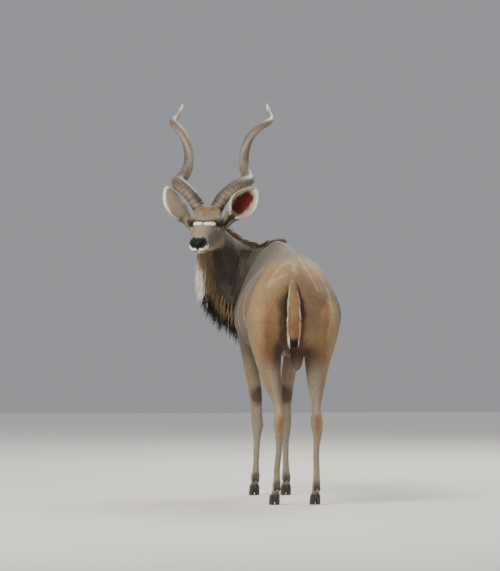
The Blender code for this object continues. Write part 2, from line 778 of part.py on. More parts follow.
def mane_locks():
    """The nape mane from the poll to the withers, with each lock's place on either side of a cut."""
    chance = random.Random(LOCK_SEED + 2)
    frames = neck_frames(8)
    made = []
    for index in range(MANE_PLACES):
        share = 0.16 + 0.78 * index / (MANE_PLACES - 1)
        centre, onward, nape, side, depth, _ = frames[int(round(share * (len(frames) - 1)))]
        for row in range(MANE_ROWS):
            across = (row - (MANE_ROWS - 1) / 2) * 0.016
            root = (centre + nape * (depth - 0.004) + side * across
                    + onward * (chance.uniform(-0.006, 0.006) + 0.014 * row))
            way = (nape * 0.8 - onward * 0.65 + side * (across * 14)).normalized()
            piece = lock(root, way, onward, MANE_LENGTH * chance.uniform(0.8, 1.15),
                         MANE_WIDTH * chance.uniform(0.85, 1.1), -onward * 0.25,
                         chance.uniform(-0.14, 0.02) - 0.1, SHORT_LOCK_SHAPE)
            made.append((piece, root))
    return made


def withers_locks():
    """The last locks of the mane, over the withers."""
    chance = random.Random(LOCK_SEED + 3)
    made = []
    for index in range(9):
        y = 0.500 - 0.034 * index
        top = between([(row[0], row[1]) for row in TRUNK], y)
        shift = between([(row[0], row[5]) for row in TRUNK], y)
        root = Vector((shift + 0.007 * (-1) ** index, y, top - 0.020))
        made.append(lock(root, Vector((0.05 * (-1) ** index, -0.92, 0.36)).normalized(), Vector((0, 1, 0)),
                         0.062 * (1 - 0.03 * index) * chance.uniform(0.9, 1.1), 0.040,
                         Vector((0, -0.20, -0.10)), chance.uniform(-0.1, 0.05), SHORT_LOCK_SHAPE))
    return made


def tail_locks():
    """The fringe down both sides of the tail and the tuft at its end."""
    chance = random.Random(LOCK_SEED + 4)
    made = []
    for index in range(TAIL_PLACES):
        z = 1.120 - 0.036 * index
        y = between([(row[1], row[0]) for row in reversed(TAIL)], z)
        half = between([(row[1], row[2]) for row in reversed(TAIL)], z)
        for side in (-1, 1):
            root = Vector((TAIL_SIDE + side * (half - 0.008), y - 0.002, z + 0.006 * side))
            way = Vector((side * 0.42, -0.02, -0.90)).normalized()
            made.append(lock(root, way, Vector((side, 0, 0.3)).normalized(),
                             TAIL_LOCK_LENGTH * chance.uniform(0.85, 1.1), TAIL_LOCK_WIDTH,
                             Vector((-side * 0.16, 0, -0.05)), 0.0, SHORT_LOCK_SHAPE))
    for index in range(5):
        share = index / 4 - 0.5
        root = Vector((TAIL_SIDE + share * 0.022, -0.821 - 0.004 * (index % 2), 0.912))
        way = Vector((share * 0.30, -0.01, -1.0)).normalized()
        made.append(lock(root, way, Vector((1, 0.25 * (-1) ** index, 0)).normalized(),
                         0.072 * (1 - 0.5 * abs(share)) * chance.uniform(0.92, 1.05), 0.022,
                         Vector((0, 0, 0)), 0.0))
    return made


def fuse(obj, locks):
    """One union of a node with its locks."""
    return cut(obj, locks, "UNION")


def dewclaws(leg):
    """The pair of small claws behind a fetlock."""
    stations, side, lean = FEET[leg]
    made = []
    row = stations[13]
    centre = leg_centre(side, lean, row)
    for way in (-1, 1):
        place = centre + Vector((way * 0.013, -row[4] - 0.002, -0.010))
        made.append(ball("dewclaw", place, (0.010, 0.011, 0.017), 6, 8))
    return made


BODY_BUMPS = [
    # centre, radii, height; each is also raised on the other side
    ((0.19, 0.30, 1.12), (0.06, 0.09, 0.17), 0.016),     # shoulder blade
    ((0.19, 0.47, 1.02), (0.07, 0.07, 0.09), 0.022),     # point of the shoulder
    ((0.20, 0.34, 0.90), (0.06, 0.08, 0.09), 0.014),     # upper arm
    ((0.20, 0.20, 1.00), (0.06, 0.045, 0.20), -0.014),   # hollow behind the shoulder
    ((0.15, -0.38, 1.285), (0.05, 0.06, 0.04), 0.020),   # hook bone
    ((0.20, -0.32, 1.12), (0.07, 0.07, 0.10), -0.026),   # flank hollow
    ((0.22, -0.55, 1.02), (0.07, 0.12, 0.14), 0.014),    # thigh
    ((0.17, -0.38, 0.88), (0.06, 0.07, 0.08), 0.014),    # stifle
    ((0.12, -0.76, 1.12), (0.05, 0.05, 0.05), 0.012),    # seat bone
    ((0.17, -0.70, 0.92), (0.06, 0.05, 0.12), 0.010),    # back of the thigh
    ((0.06, -0.76, 1.02), (0.035, 0.05, 0.16), -0.004),
]
MID_GROOVES = [
    # the cleft between the buttocks, under the tail
    ([(-0.048, -0.80, 1.14), (-0.044, -0.80, 0.95), (-0.030, -0.72, 0.82)], 0.038, -0.034),
]
LEG_BUMPS = [
    # share of the leg's stations by index, offset from the centre, radii, height
    ("hind", 8, (0, -0.046, 0.030), (0.020, 0.020, 0.036), 0.016),    # point of the hock
    ("hind", 6, (0, -0.010, 0.0), (0.040, 0.030, 0.050), -0.004),     # hollow before the tendon
    ("fore", 8, (0, 0.036, 0.0), (0.030, 0.020, 0.030), 0.004),       # knee cap
    ("fore", 3, (0, -0.085, 0.010), (0.035, 0.030, 0.035), 0.012),    # point of the elbow
]


def body_sculpting():
    """Bumps on both sides, and on each leg."""
    bumps = []
    for centre, radii, height in BODY_BUMPS:
        for side in (-1, 1):
            bumps.append(((centre[0] * side, centre[1], centre[2]), radii, height))
    for kind, index, offset, radii, height in LEG_BUMPS:
        for name, (stations, side, lean) in FEET.items():
            if (kind == "hind") == (stations is HIND_LEG):
                centre = leg_centre(side, lean, stations[index]) + Vector(offset)
                bumps.append((tuple(centre), radii, height))
    for row in range(7):
        y = -0.14 + 0.052 * row
        for side in (-1, 1):
            bumps.append(((side * 0.26, y, 1.00), (0.10, 0.014, 0.16), 0.0035))
    return bumps


def head_sculpting():
    """Brow, lids, cheek, nostrils, mouth line and lips."""
    bumps, grooves = [], []
    for side in (-1, 1):
        def place(across, forward, up):
            return tuple(in_head(across * side, forward, up))
        bumps += [
            (place(0.072, 0.104, 0.026), (0.026,) * 3, 0.009),    # brow
            (place(0.076, 0.060, -0.100), (0.045,) * 3, 0.007),   # jaw muscle
            (place(0.062, 0.175, -0.050), (0.034,) * 3, -0.006),  # hollow before the eye
            (place(0.045, 0.300, -0.030), (0.030,) * 3, -0.004),
            (place(0.034, 0.374, -0.036), (0.018,) * 3, 0.005),   # nostril wing
            (place(0.040, 0.352, -0.078), (0.022,) * 3, 0.005),   # upper lip
        ]
        eye_line = [place(EYE[0] + 0.010, EYE[1] + 0.026 * math.cos(t), EYE[2] + 0.021 * math.sin(t))
                    for t in np.linspace(0, 2 * math.pi, 13)]
        grooves.append((eye_line, 0.0070, 0.0055))                # lids
        grooves.append(([place(0.022, 0.399, -0.042), place(0.030, 0.393, -0.032),
                         place(0.038, 0.380, -0.026)], 0.0065, -0.012))   # nostril
        grooves.append(([place(0.0, 0.402, -0.080), place(0.026, 0.390, -0.082),
                         place(0.046, 0.352, -0.083), place(0.054, 0.305, -0.080),
                         place(0.060, 0.270, -0.074)], 0.0050, -0.0075))  # mouth line
        grooves.append(([place(0.066, 0.165, -0.006), place(0.055, 0.200, -0.010)],
                        0.0065, -0.004))                          # tear line
    grooves.append(([tuple(in_head(0, 0.408, -0.040)), tuple(in_head(0, 0.402, -0.070))],
                    0.0040, -0.0035))                             # cleft of the upper lip
    grooves.append(([tuple(in_head(0, 0.05, 0.046)), tuple(in_head(0, 0.15, 0.036))],
                    0.014, -0.004))                               # forehead
    return bumps, grooves


def whole_body():
    """Trunk, neck, head and legs as one skin."""
    pieces = [trunk_tube(), neck_tube(), head_tube()]
    for name in FEET:
        pieces.append(leg_tube(name))
        pieces.extend(dewclaws(name))
    pieces.append(ball("scrotum", Vector((-0.013, -0.610, 0.800)), (0.038, 0.046, 0.088)))
    pieces.append(ball("sheath", Vector((-0.006, -0.180, 0.812)), (0.032, 0.090, 0.042)))
    pieces.append(beard_fold())
    pieces.append(crest_fold())
    body = merge("body", pieces, BODY_VOXEL, 5)
    sculpt(body, body_sculpting(), MID_GROOVES)
    smooth(body, 2, 0.4)
    return body


def whole_head():
    """Head and the start of the neck as one finer skin."""
    pieces = [head_tube(), neck_tube(), horn_stub(-1), horn_stub(1), beard_fold(), crest_fold()]
    keep = block("near", in_head(0, 0.16, -0.05), (0.5, 0.62, 0.5), (HEAD_RIGHT, FACE, HEAD_UP))
    head = merge("head", pieces, HEAD_VOXEL, 6)
    cut(head, [keep], "INTERSECT")
    bumps, grooves = head_sculpting()
    sculpt(head, bumps, grooves)
    smooth(head, 1, 0.3)
    return head


def neck_cut():
    """Plane between torso and neck."""
    return Vector((-0.075, 0.570, 1.170)), Vector((-0.62, 0.72, 0.24)).normalized()


def head_cut():
    """Plane between neck and head."""
    return Vector((-0.390, 0.478, 1.460)), Vector((-0.22, -0.95, 0.20)).normalized()


def part_body(nodes):
    """Cut the whole body into torso, neck and legs."""
    body = thin_out(whole_body(), BODY_TRIANGLES)
    floor_cut = half_space("low", Vector((0, 0, HOOF_TOP)), Vector((0, 0, -1)))
    cut(body, [floor_cut])
    point, way = neck_cut()
    neck = copy_of(body, "neck")
    point_2, way_2 = head_cut()
    locks = []
    for piece, beyond in beard_locks():
        if beyond < -0.006:
            locks.append(piece)
        else:
            remove(piece)
    for piece, root in mane_locks():
        if (root - point_2).dot(way_2) < 0.0 and (root - point).dot(way) > 0.0:
            locks.append(piece)
        else:
            remove(piece)
    fuse(neck, locks)
    cut(neck, [half_space("a", point + way * (SEAM / 2), -way)])
    cut(neck, [half_space("b", point_2 - way_2 * (SEAM / 2), way_2)])
    nodes["neck"] = neck
    boxes = {}
    for name, (stations, side, _) in FEET.items():
        top = HIND_CUT if stations is HIND_LEG else FORE_CUT
        front = -0.50 if stations is HIND_LEG else 0.45
        inner = {"left_hind_leg": -0.052, "right_hind_leg": 0.031}.get(name, 0.0)
        boxes[name] = (Vector((inner + side * 0.2, front, top - 0.5)), (0.4, 0.8, 1.0))
    for name, (centre, sizes) in boxes.items():
        leg = copy_of(body, name)
        cut(leg, [block("box", centre - Vector((0, 0, SEAM)), sizes)], "INTERSECT")
        nodes[name] = leg
    torso = copy_of(body, "torso")
    fuse(torso, withers_locks())
    cut(torso, [half_space("c", point - way * (SEAM / 2), way)])
    for centre, sizes in boxes.values():
        cut(torso, [block("box", centre, (sizes[0] + 2 * SEAM, sizes[1] + 0.1, sizes[2]))])
    nodes["torso"] = torso
    remove(body)


def part_head(nodes):
    """Cut the head free, and set horns, ears and eyes against it."""
    head = thin_out(whole_head(), HEAD_TRIANGLES)
    head.name = "head"
    point, way = head_cut()
    locks = chin_locks()
    for piece, root in mane_locks():
        if (root - point).dot(way) >= 0.0:
            locks.append(piece)
        else:
            remove(piece)
    fuse(head, locks)
    cut(head, [half_space("d", point + way * (SEAM / 2), -way)])
    for side, word in ((-1, "left"), (1, "right")):
        base, onward = horn_cut_plane(side)
        across = onward.orthogonal().normalized()
        cut(head, [block("stub_end", base + onward * 0.05, (0.13, 0.13, 0.10),
                         (across, onward.cross(across), onward))])
        cut(head, [ball("socket", in_head(EYE[0] * side, EYE[1], EYE[2]), (EYE_RADIUS + SEAM,) * 3, 7, 12)])
        nodes[f"{word}_horn"] = horn(f"{word}_horn", side)
        nodes[f"{word}_eye"] = eye(f"{word}_eye", side)
    for side, word in ((-1, "left"), (1, "right")):
        made = ear(f"{word}_ear", side)
        cut(made, [copy_of(head, "form", SEAM)])
        cut(made, [copy_of(nodes["neck"], "form", SEAM)])
        cut(made, [copy_of(nodes[f"{word}_horn"], "form", 0.0015)])
        nodes[f"{word}_ear"] = made
    nodes["head"] = head


def place_all(nodes):
    """Stand the animal on the floor with its box centred on the origin."""
    low, high = Vector((1e9,) * 3), Vector((-1e9,) * 3)
    for obj in nodes.values():
        for vertex in obj.data.vertices:
            for axis in range(3):
                low[axis] = min(low[axis], vertex.co[axis])
                high[axis] = max(high[axis], vertex.co[axis])
    shift = Vector((-(low.x + high.x) / 2, -(low.y + high.y) / 2, -low.z))
    for obj in nodes.values():
        for vertex in obj.data.vertices:
            vertex.co += shift
        obj.data.update()
    return shift


def main():
    """Build every node."""
    clear_scene()
    nodes = {}
    part_body(nodes)
    part_head(nodes)
    made = fuse(tail("tail"), tail_locks())
    cut(made, [copy_of(nodes["torso"], "form", SEAM)])
    nodes["tail"] = made
    for leg in FEET:
        word = f"{leg}_hoof"
        nodes[word] = hoof(word, leg)
    place_all(nodes)
    for name, obj in nodes.items():
        obj.name = name
        obj.data.name = name
        colour, rough = COAT, 0.85
        if "horn" in name:
            colour, rough = HORN_BROWN, 0.6
        elif "hoof" in name:
            colour, rough = HOOF_BLACK, 0.5
        elif "eye" in name:
            colour, rough = EYE_BLACK, 0.1
        elif "leg" in name:
            colour = LEG_COAT
        obj.data.materials.clear()
        obj.data.materials.append(material(name, colour, rough))


main()
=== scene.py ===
"""Greater kudu bull: skin, coat, manes, horns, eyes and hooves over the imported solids.

Metres, +Z up. Shapes are made where the animal's own measures put them and then moved onto the solids.
"""

import json
import math
import random

import bpy
import numpy as np
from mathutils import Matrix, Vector
from mathutils.bvhtree import BVHTree
from mathutils.kdtree import KDTree

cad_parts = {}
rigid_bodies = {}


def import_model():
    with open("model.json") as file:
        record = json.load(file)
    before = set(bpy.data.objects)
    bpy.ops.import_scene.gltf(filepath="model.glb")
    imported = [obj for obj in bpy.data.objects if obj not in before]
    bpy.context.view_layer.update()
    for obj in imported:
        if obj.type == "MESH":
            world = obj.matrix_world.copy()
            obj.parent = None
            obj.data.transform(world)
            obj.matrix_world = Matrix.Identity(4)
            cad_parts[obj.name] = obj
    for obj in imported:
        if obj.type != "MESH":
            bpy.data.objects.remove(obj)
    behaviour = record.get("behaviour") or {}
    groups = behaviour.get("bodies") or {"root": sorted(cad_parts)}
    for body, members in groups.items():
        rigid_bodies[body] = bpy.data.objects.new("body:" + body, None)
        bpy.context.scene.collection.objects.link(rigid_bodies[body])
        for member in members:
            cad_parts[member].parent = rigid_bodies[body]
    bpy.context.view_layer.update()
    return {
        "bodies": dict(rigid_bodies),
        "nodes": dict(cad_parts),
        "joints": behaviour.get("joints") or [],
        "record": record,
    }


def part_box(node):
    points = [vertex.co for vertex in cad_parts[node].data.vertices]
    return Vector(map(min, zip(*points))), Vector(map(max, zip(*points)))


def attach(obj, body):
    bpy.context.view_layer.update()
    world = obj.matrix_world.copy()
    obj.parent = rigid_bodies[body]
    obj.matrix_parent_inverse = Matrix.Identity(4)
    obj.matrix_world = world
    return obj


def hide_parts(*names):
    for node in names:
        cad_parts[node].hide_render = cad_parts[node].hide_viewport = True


bl_info = {
    "name": "Greater kudu",
    "version": (1, 0, 0),
    "blender": (4, 5, 0),
    "location": "View3D > Sidebar > Kudu",
    "description": "Models the coat, horns, eyes and hooves of a standing greater kudu bull",
    "category": "Mesh",
}

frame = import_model()
SOLID_EYES = {word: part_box(f"{word}_eye") for word in ("left", "right")}

RIGHT, AHEAD, UP = Vector((1, 0, 0)), Vector((0, 1, 0)), Vector((0, 0, 1))

# The picture that the camera matches: its rows, and the place at its centre
PHOTO_ROWS = 571
PHOTO_ASIDE, PHOTO_HEIGHT = -0.2034, 1.156

# Sizes that the solids share, and forms that only the skin has
SKIN_VOXEL = 0.0094
LID_HALF_LENGTH, LID_HALF_HEIGHT = 0.0180, 0.0105
STRIPES = (-0.50, -0.39, -0.28, -0.17, -0.06)      # places along the body
FOLD_HEIGHTS = (1.337, 1.305, 1.261, 1.213, 1.159, 1.099, 1.035)
NECK_FOLDS = (
    # across, at those heights, where skin gathers on the side that the neck bends to
    (-0.118, -0.139, -0.161, -0.183, -0.204, -0.232, -0.248),
    (-0.139, -0.156, -0.177, -0.199, -0.221, -0.248),
    (-0.161, -0.177, -0.194, -0.215, -0.237, -0.259),
    (-0.183, -0.194, -0.210, -0.226, -0.248),
    (-0.204, -0.215, -0.226, -0.242, -0.264),
)
FOLD_VIEW = Vector((0.0963, 1.0, 0)).normalized()       # they are cast onto the skin along this line
FOLD_ASIDE, FOLD_BEHIND = -0.159, -1.2                  # from so far aside and behind
FOLD_LIMIT = 0.45                       # no fold further back than this
FOLDS = []                              # the same folds on the skin, once it is modelled
RUMP_LINES = (
    # pale arcs from the croup down the rump, seen from behind, partly stripes and partly painted highlight on
    # the muscles: across and height
    ((-0.029, 1.305), (-0.095, 1.271), (-0.147, 1.217), (-0.176, 1.169)),
    ((-0.081, 1.228), (-0.145, 1.191), (-0.173, 1.153)),
    ((-0.003, 1.308), (0.032, 1.254), (0.070, 1.179), (0.084, 1.137)),
    ((0.019, 1.303), (0.082, 1.254), (0.124, 1.194), (0.150, 1.126), (0.172, 1.028), (0.170, 0.948)),
    ((0.143, 1.146), (0.156, 1.071), (0.160, 0.996), (0.142, 0.888)),
)
# Tufts of each piece of the short coat, and their size beside the largest
COATS = {"coat_rear": (19000, 1.0), "coat_front": (16000, 1.0), "coat_legs": (11000, 0.85),
         "coat_head": (10000, 0.7)}
COAT_LIFT = 0.08         # how far the tufts stand off, in radians
# Length of the throat's hair from the chin, 0, to the chest, 1
THROAT_LENGTHS = [(0.0, 0.120), (0.2, 0.150), (0.5, 0.128), (0.7, 0.095), (0.85, 0.068), (1.0, 0.050)]
LOCK_WIDTHS = (0.0025, 0.005)    # of the nape, spine and tail
BEARD_RIDGE = 0.024      # height of the fold of skin that the throat mane grows from

# Trunk: place along the body, top, bottom, half width, egg (narrower above), sideways shift
TRUNK = [
    (-0.790, 1.150, 0.960, 0.070, 0.10, -0.045),    # buttock
    (-0.765, 1.195, 0.900, 0.130, 0.12, -0.042),
    (-0.700, 1.255, 0.850, 0.185, 0.16, -0.036),
    (-0.600, 1.312, 0.815, 0.216, 0.18, -0.028),    # pin bones
    (-0.480, 1.336, 0.810, 0.226, 0.18, -0.018),    # croup
    (-0.340, 1.326, 0.835, 0.222, 0.16, -0.010),    # loin
    (-0.180, 1.312, 0.808, 0.256, 0.20, -0.002),
    (-0.020, 1.316, 0.780, 0.279, 0.26, 0.000),     # belly
    (0.140, 1.344, 0.768, 0.264, 0.32, 0.000),
    (0.280, 1.385, 0.772, 0.222, 0.38, -0.008),     # girth
    (0.370, 1.398, 0.785, 0.202, 0.38, -0.016),     # withers
    (0.460, 1.372, 0.822, 0.188, 0.32, -0.028),
    (0.560, 1.315, 0.880, 0.160, 0.20, -0.040),
    (0.640, 1.235, 0.960, 0.118, 0.10, -0.055),  # point of the chest
    (0.675, 1.180, 1.020, 0.068, 0.05, -0.062),
]

# Neck: centre, half depth (throat to nape), half width
NECK = [
    ((0.010, 0.360, 1.130), 0.235, 0.165),
    ((-0.020, 0.480, 1.145), 0.225, 0.150),
    ((-0.090, 0.585, 1.168), 0.205, 0.130),
    ((-0.190, 0.645, 1.212), 0.172, 0.112),      # middle of the neck
    ((-0.280, 0.640, 1.290), 0.138, 0.096),
    ((-0.345, 0.582, 1.378), 0.114, 0.084),
    ((-0.378, 0.505, 1.440), 0.101, 0.076),      # throat latch
    ((-0.392, 0.440, 1.474), 0.094, 0.070),
]

# Legs: centre x, y, z, half width, half depth
HIND_LEG = [
    (0.098, -0.560, 1.200, 0.055, 0.110),
    (0.128, -0.556, 1.020, 0.106, 0.205),
    (0.138, -0.540, 0.930, 0.100, 0.196),
    (0.140, -0.528, 0.850, 0.088, 0.165),        # stifle
    (0.136, -0.534, 0.770, 0.072, 0.124),
    (0.128, -0.560, 0.680, 0.056, 0.088),        # gaskin
    (0.118, -0.592, 0.590, 0.041, 0.062),
    (0.108, -0.622, 0.510, 0.026, 0.050),
    (0.102, -0.634, 0.445, 0.036, 0.050),        # hock
    (0.100, -0.628, 0.390, 0.030, 0.041),
    (0.098, -0.612, 0.320, 0.0210, 0.029),       # cannon
    (0.096, -0.598, 0.220, 0.0200, 0.026),
    (0.094, -0.588, 0.140, 0.0215, 0.027),
    (0.093, -0.580, 0.104, 0.0250, 0.031),       # fetlock
    (0.092, -0.562, 0.078, 0.0225, 0.027),
    (0.092, -0.545, 0.055, 0.0260, 0.032),       # coronet
    (0.092, -0.540, 0.030, 0.0260, 0.032),
]
FORE_LEG = [
    (0.140, 0.400, 1.080, 0.070, 0.120),
    (0.158, 0.420, 0.960, 0.074, 0.128),         # shoulder
    (0.162, 0.438, 0.860, 0.066, 0.112),
    (0.157, 0.450, 0.780, 0.055, 0.088),         # elbow
    (0.152, 0.464, 0.690, 0.043, 0.062),
    (0.132, 0.475, 0.590, 0.040, 0.048),         # forearm
    (0.122, 0.482, 0.490, 0.034, 0.039),
    (0.1195, 0.486, 0.425, 0.034, 0.038),
    (0.1155, 0.487, 0.385, 0.036, 0.038),         # knee
    (0.118, 0.484, 0.345, 0.029, 0.031),
    (0.120, 0.481, 0.290, 0.0215, 0.025),        # cannon
    (0.124, 0.479, 0.190, 0.0200, 0.024),
    (0.127, 0.478, 0.130, 0.0225, 0.027),
    (0.129, 0.480, 0.100, 0.0280, 0.033),        # fetlock
    (0.130, 0.495, 0.076, 0.0235, 0.028),
    (0.130, 0.512, 0.055, 0.0270, 0.033),        # coronet
    (0.130, 0.517, 0.030, 0.0270, 0.033),
]
HOOF_TOP = 0.048
HOOF_LENGTH, HOOF_WIDTH = 0.088, 0.060
# Each leg: its stations, side, and how far it leans sideways at some heights
FEET = {
    "left_foreleg": (FORE_LEG, -1, [(0.0, 0.0), (1.0, 0.0)]),
    "right_foreleg": (FORE_LEG, 1, [(0.0, -0.085), (0.10, -0.088), (0.29, -0.081), (0.39, -0.078),
                                    (0.59, -0.088), (0.69, -0.096), (0.78, -0.080), (0.86, -0.055),
                                    (0.96, -0.035), (1.10, -0.020)]),
    "left_hind_leg": (HIND_LEG, -1, [(0.0, -0.036), (0.10, -0.025), (0.20, -0.0225), (0.28, -0.011),
                                     (0.43, -0.007), (0.53, -0.005), (0.60, -0.011), (0.70, -0.021),
                                     (0.90, -0.028)]),
    "right_hind_leg": (HIND_LEG, 1, [(0.0, 0.0), (0.12, 0.001), (0.28, -0.007), (0.36, -0.004),
                                     (0.43, -0.011), (0.50, -0.018), (0.61, -0.027), (0.69, -0.032),
                                     (0.90, -0.028)]),
}

# Head: poll, the way the face points, and stations along the face from the poll to the nose
POLL = Vector((-0.385, 0.460, 1.536))
FACE_TURN = math.radians(15.0)      # of the face, from straight back over the left shoulder
FACE_DROP = math.radians(18.5)
HEAD = [
    # forward, top, bottom, half width, egg
    (-0.085, -0.020, -0.130, 0.040, 0.0),
    (-0.060, 0.006, -0.150, 0.062, 0.0),
    (-0.020, 0.034, -0.168, 0.080, 0.0),         # occiput
    (0.030, 0.046, -0.180, 0.087, -0.04),        # horn bases
    (0.080, 0.046, -0.180, 0.089, -0.06),
    (0.120, 0.041, -0.172, 0.088, -0.10),        # eyes
    (0.160, 0.033, -0.156, 0.079, -0.08),
    (0.205, 0.025, -0.138, 0.067, -0.02),        # cheek to muzzle
    (0.255, 0.017, -0.122, 0.057, 0.0),
    (0.305, 0.009, -0.110, 0.054, 0.0),
    (0.345, 0.002, -0.103, 0.054, 0.0),          # nostrils
    (0.375, -0.006, -0.096, 0.051, 0.0),
    (0.395, -0.018, -0.086, 0.039, 0.0),
    (0.405, -0.034, -0.072, 0.020, 0.0),         # nose
]
EYE = (0.0795, 0.122, -0.004)       # across, forward, up in the head
EYE_RADIUS = 0.0205
IRIS_STOPS = [
    # from the rim of the ball to the middle of the pupil: place and colour
    (0.0, (0.012, 0.009, 0.007)), (0.62, (0.010, 0.007, 0.005)), (0.72, (0.016, 0.009, 0.005)),
    (0.90, (0.012, 0.007, 0.004)), (0.93, (0.002, 0.002, 0.002)),
]
FACE_MARKS = (
    # on each side, in the order of laying: a line of places with its half width and soft edge, or one
    # place with its radii, then colour and strength; across, forward, up, or on the surface without up
    ((EYE[0], EYE[1] + 0.006, EYE[2]), (0.050, 0.038, 0.025), "dark", 0.95),  # socket
    ([(0.074, 0.142, -0.004), (0.060, 0.186, 0.000)], (0.004, 0.007), "black", 0.90),  # tear line
    ([(0.054, 0.162), (0.036, 0.188), (0.017, 0.206)], (0.0105, 0.0035), "white", 1.0),  # nose band
    ([(0.066, 0.128), (0.036, 0.164), (0.0, 0.184)], (0.0050, 0.0060), "black", 0.75),  # shade over the band
    ((0.088, 0.092, 0.016), (0.020, 0.011, 0.010), "cream", 0.60),  # brow spot
    ((0.090, 0.150, -0.030), (0.030, 0.016, 0.010), "cream", 0.60),  # under the eye
    ((0.080, 0.200, -0.090), (0.034, 0.012, 0.010), "cream", 0.45),  # cheek spot
    ([(0.055, 0.345, -0.062), (0.040, 0.385, -0.060), (0.014, 0.405, -0.064)],
     (0.0125, 0.004), "white", 1.0),  # upper lip
    # next: black over the nostril, painted shade in and round its opening
    ([(0.022, 0.396, -0.034), (0.032, 0.386, -0.020), (0.038, 0.366, -0.010)],
     (0.0200, 0.0040), "black", 1.0),  # nostril
    ([(0.0, 0.390, -0.096), (0.035, 0.345, -0.104)], (0.016, 0.006), "white", 0.90),  # chin
    ([(0.0, 0.402, -0.081), (0.030, 0.393, -0.082), (0.050, 0.352, -0.082), (0.058, 0.300, -0.080)],
     (0.0080, 0.0028), "black", 0.95),  # mouth
)
HEAD_BUMPS = (
    # on each side: place, radii, height
    ((0.072, 0.104, 0.026), (0.026,) * 3, 0.008),           # brow
    ((0.076, 0.060, -0.100), (0.045,) * 3, 0.007),          # angle of the jaw
    ((0.062, 0.175, -0.050), (0.034,) * 3, -0.006),         # hollow before the eye
    ((0.066, 0.130, -0.062), (0.050, 0.030, 0.016), 0.004),     # cheek bone
    ((0.045, 0.300, -0.030), (0.030,) * 3, -0.004),
    ((0.036, 0.372, -0.014), (0.020,) * 3, 0.005),          # over the nostril
    ((0.047, 0.366, -0.040), (0.013,) * 3, 0.004),
    ((0.040, 0.352, -0.072), (0.022,) * 3, 0.0055),         # upper lip
    ((0.024, 0.386, -0.064), (0.016,) * 3, 0.0035),
    ((0.030, 0.352, -0.096), (0.020,) * 3, 0.003),          # chin
)
HEAD_GROOVES = (
    # on each side: places, radius, height
    ([(0.019, 0.402, -0.040), (0.029, 0.397, -0.030), (0.038, 0.386, -0.021), (0.043, 0.370, -0.017)],
     0.0060, -0.0130),      # nostril
    ([(0.0, 0.402, -0.079), (0.026, 0.390, -0.080), (0.046, 0.352, -0.082), (0.054, 0.305, -0.079),
      (0.060, 0.265, -0.072)], 0.0042, -0.0075),        # mouth
    ([(0.066, 0.160, -0.008), (0.055, 0.200, -0.012)], 0.0055, -0.0040),        # tear gland
    # wrinkles over the eye
    *(([(0.030, 0.128 - 0.016 * i, 0.040), (0.062, 0.112 - 0.016 * i, 0.030)], 0.0050, -0.0016)
      for i in range(3)),
    ([(0.060, 0.262, -0.070), (0.062, 0.240, -0.060)], 0.0060, -0.003),         # corner of the mouth
    ([(0.070, 0.215, -0.030), (0.058, 0.270, -0.042)], 0.010, -0.0025),
    # rows of the whiskers
    *(([(0.052, 0.330 - 0.022 * i, -0.050 - 0.003 * i), (0.050, 0.338 - 0.022 * i, -0.066)], 0.0035, -0.0011)
      for i in range(4)),
)
NOSE_GROOVES = (
    ([(0, 0.408, -0.040), (0, 0.402, -0.074)], 0.0035, -0.004),     # under the nose
    ([(0, 0.05, 0.046), (0, 0.15, 0.036)], 0.014, -0.004),          # middle of the forehead
)
HORN_BASE = (0.036, 0.036, 0.028)   # across, forward, up in the head
EAR_BASE = (0.110, 0.004, -0.020)
EAR_LOCKS = 1500                    # on each ear
EAR_LENGTH, EAR_HALF_WIDTH, EAR_THICKNESS = 0.215, 0.070, 0.0070
EAR_ROOT = -0.28                    # share of its length that an ear starts below its base
# Along an ear: its half width as a share of the widest, and how far round its cup closes, in degrees
EAR_OUTLINE = [(-0.28, 0.30), (0.0, 0.38), (0.10, 0.48), (0.25, 0.72), (0.42, 0.96), (0.55, 1.0),
               (0.70, 0.90), (0.84, 0.62), (0.94, 0.32), (1.0, 0.10)]
EAR_CLOSING = [(-0.28, 150.0), (0.0, 150.0), (0.12, 140.0), (0.28, 105.0), (0.45, 84.0),
               (0.65, 72.0), (1.0, 50.0)]

# Horns: open corkscrews, each the mirror of the other
HORN_RISE = math.radians(42.0)
HORN_STRAIGHT = 0.935
HORN_TURNS = 1.85
HORN_COIL = 0.050
HORN_FORWARD = 0.062
HORN_DRIFT = [(0.0, 0.085), (0.10, 0.128), (0.27, 0.150), (0.52, 0.205), (0.78, 0.236), (0.935, 0.260)]
HORN_RADIUS = [(0.0, 0.0365), (0.10, 0.0345), (0.30, 0.0295), (0.52, 0.0250), (0.78, 0.0175),
               (0.90, 0.0085), (0.935, 0.0030)]
HORN_KEEL = 0.22

# Tail under its hair: centre y and z, half width, half thickness
TAIL_SIDE = -0.052
TAIL = [
    (-0.755, 1.185, 0.021, 0.020),
    (-0.790, 1.165, 0.024, 0.018),
    (-0.815, 1.120, 0.026, 0.016),
    (-0.825, 1.060, 0.026, 0.015),
    (-0.826, 1.000, 0.024, 0.014),
    (-0.824, 0.945, 0.020, 0.013),
    (-0.822, 0.905, 0.014, 0.011),
    (-0.820, 0.885, 0.006, 0.006),
]

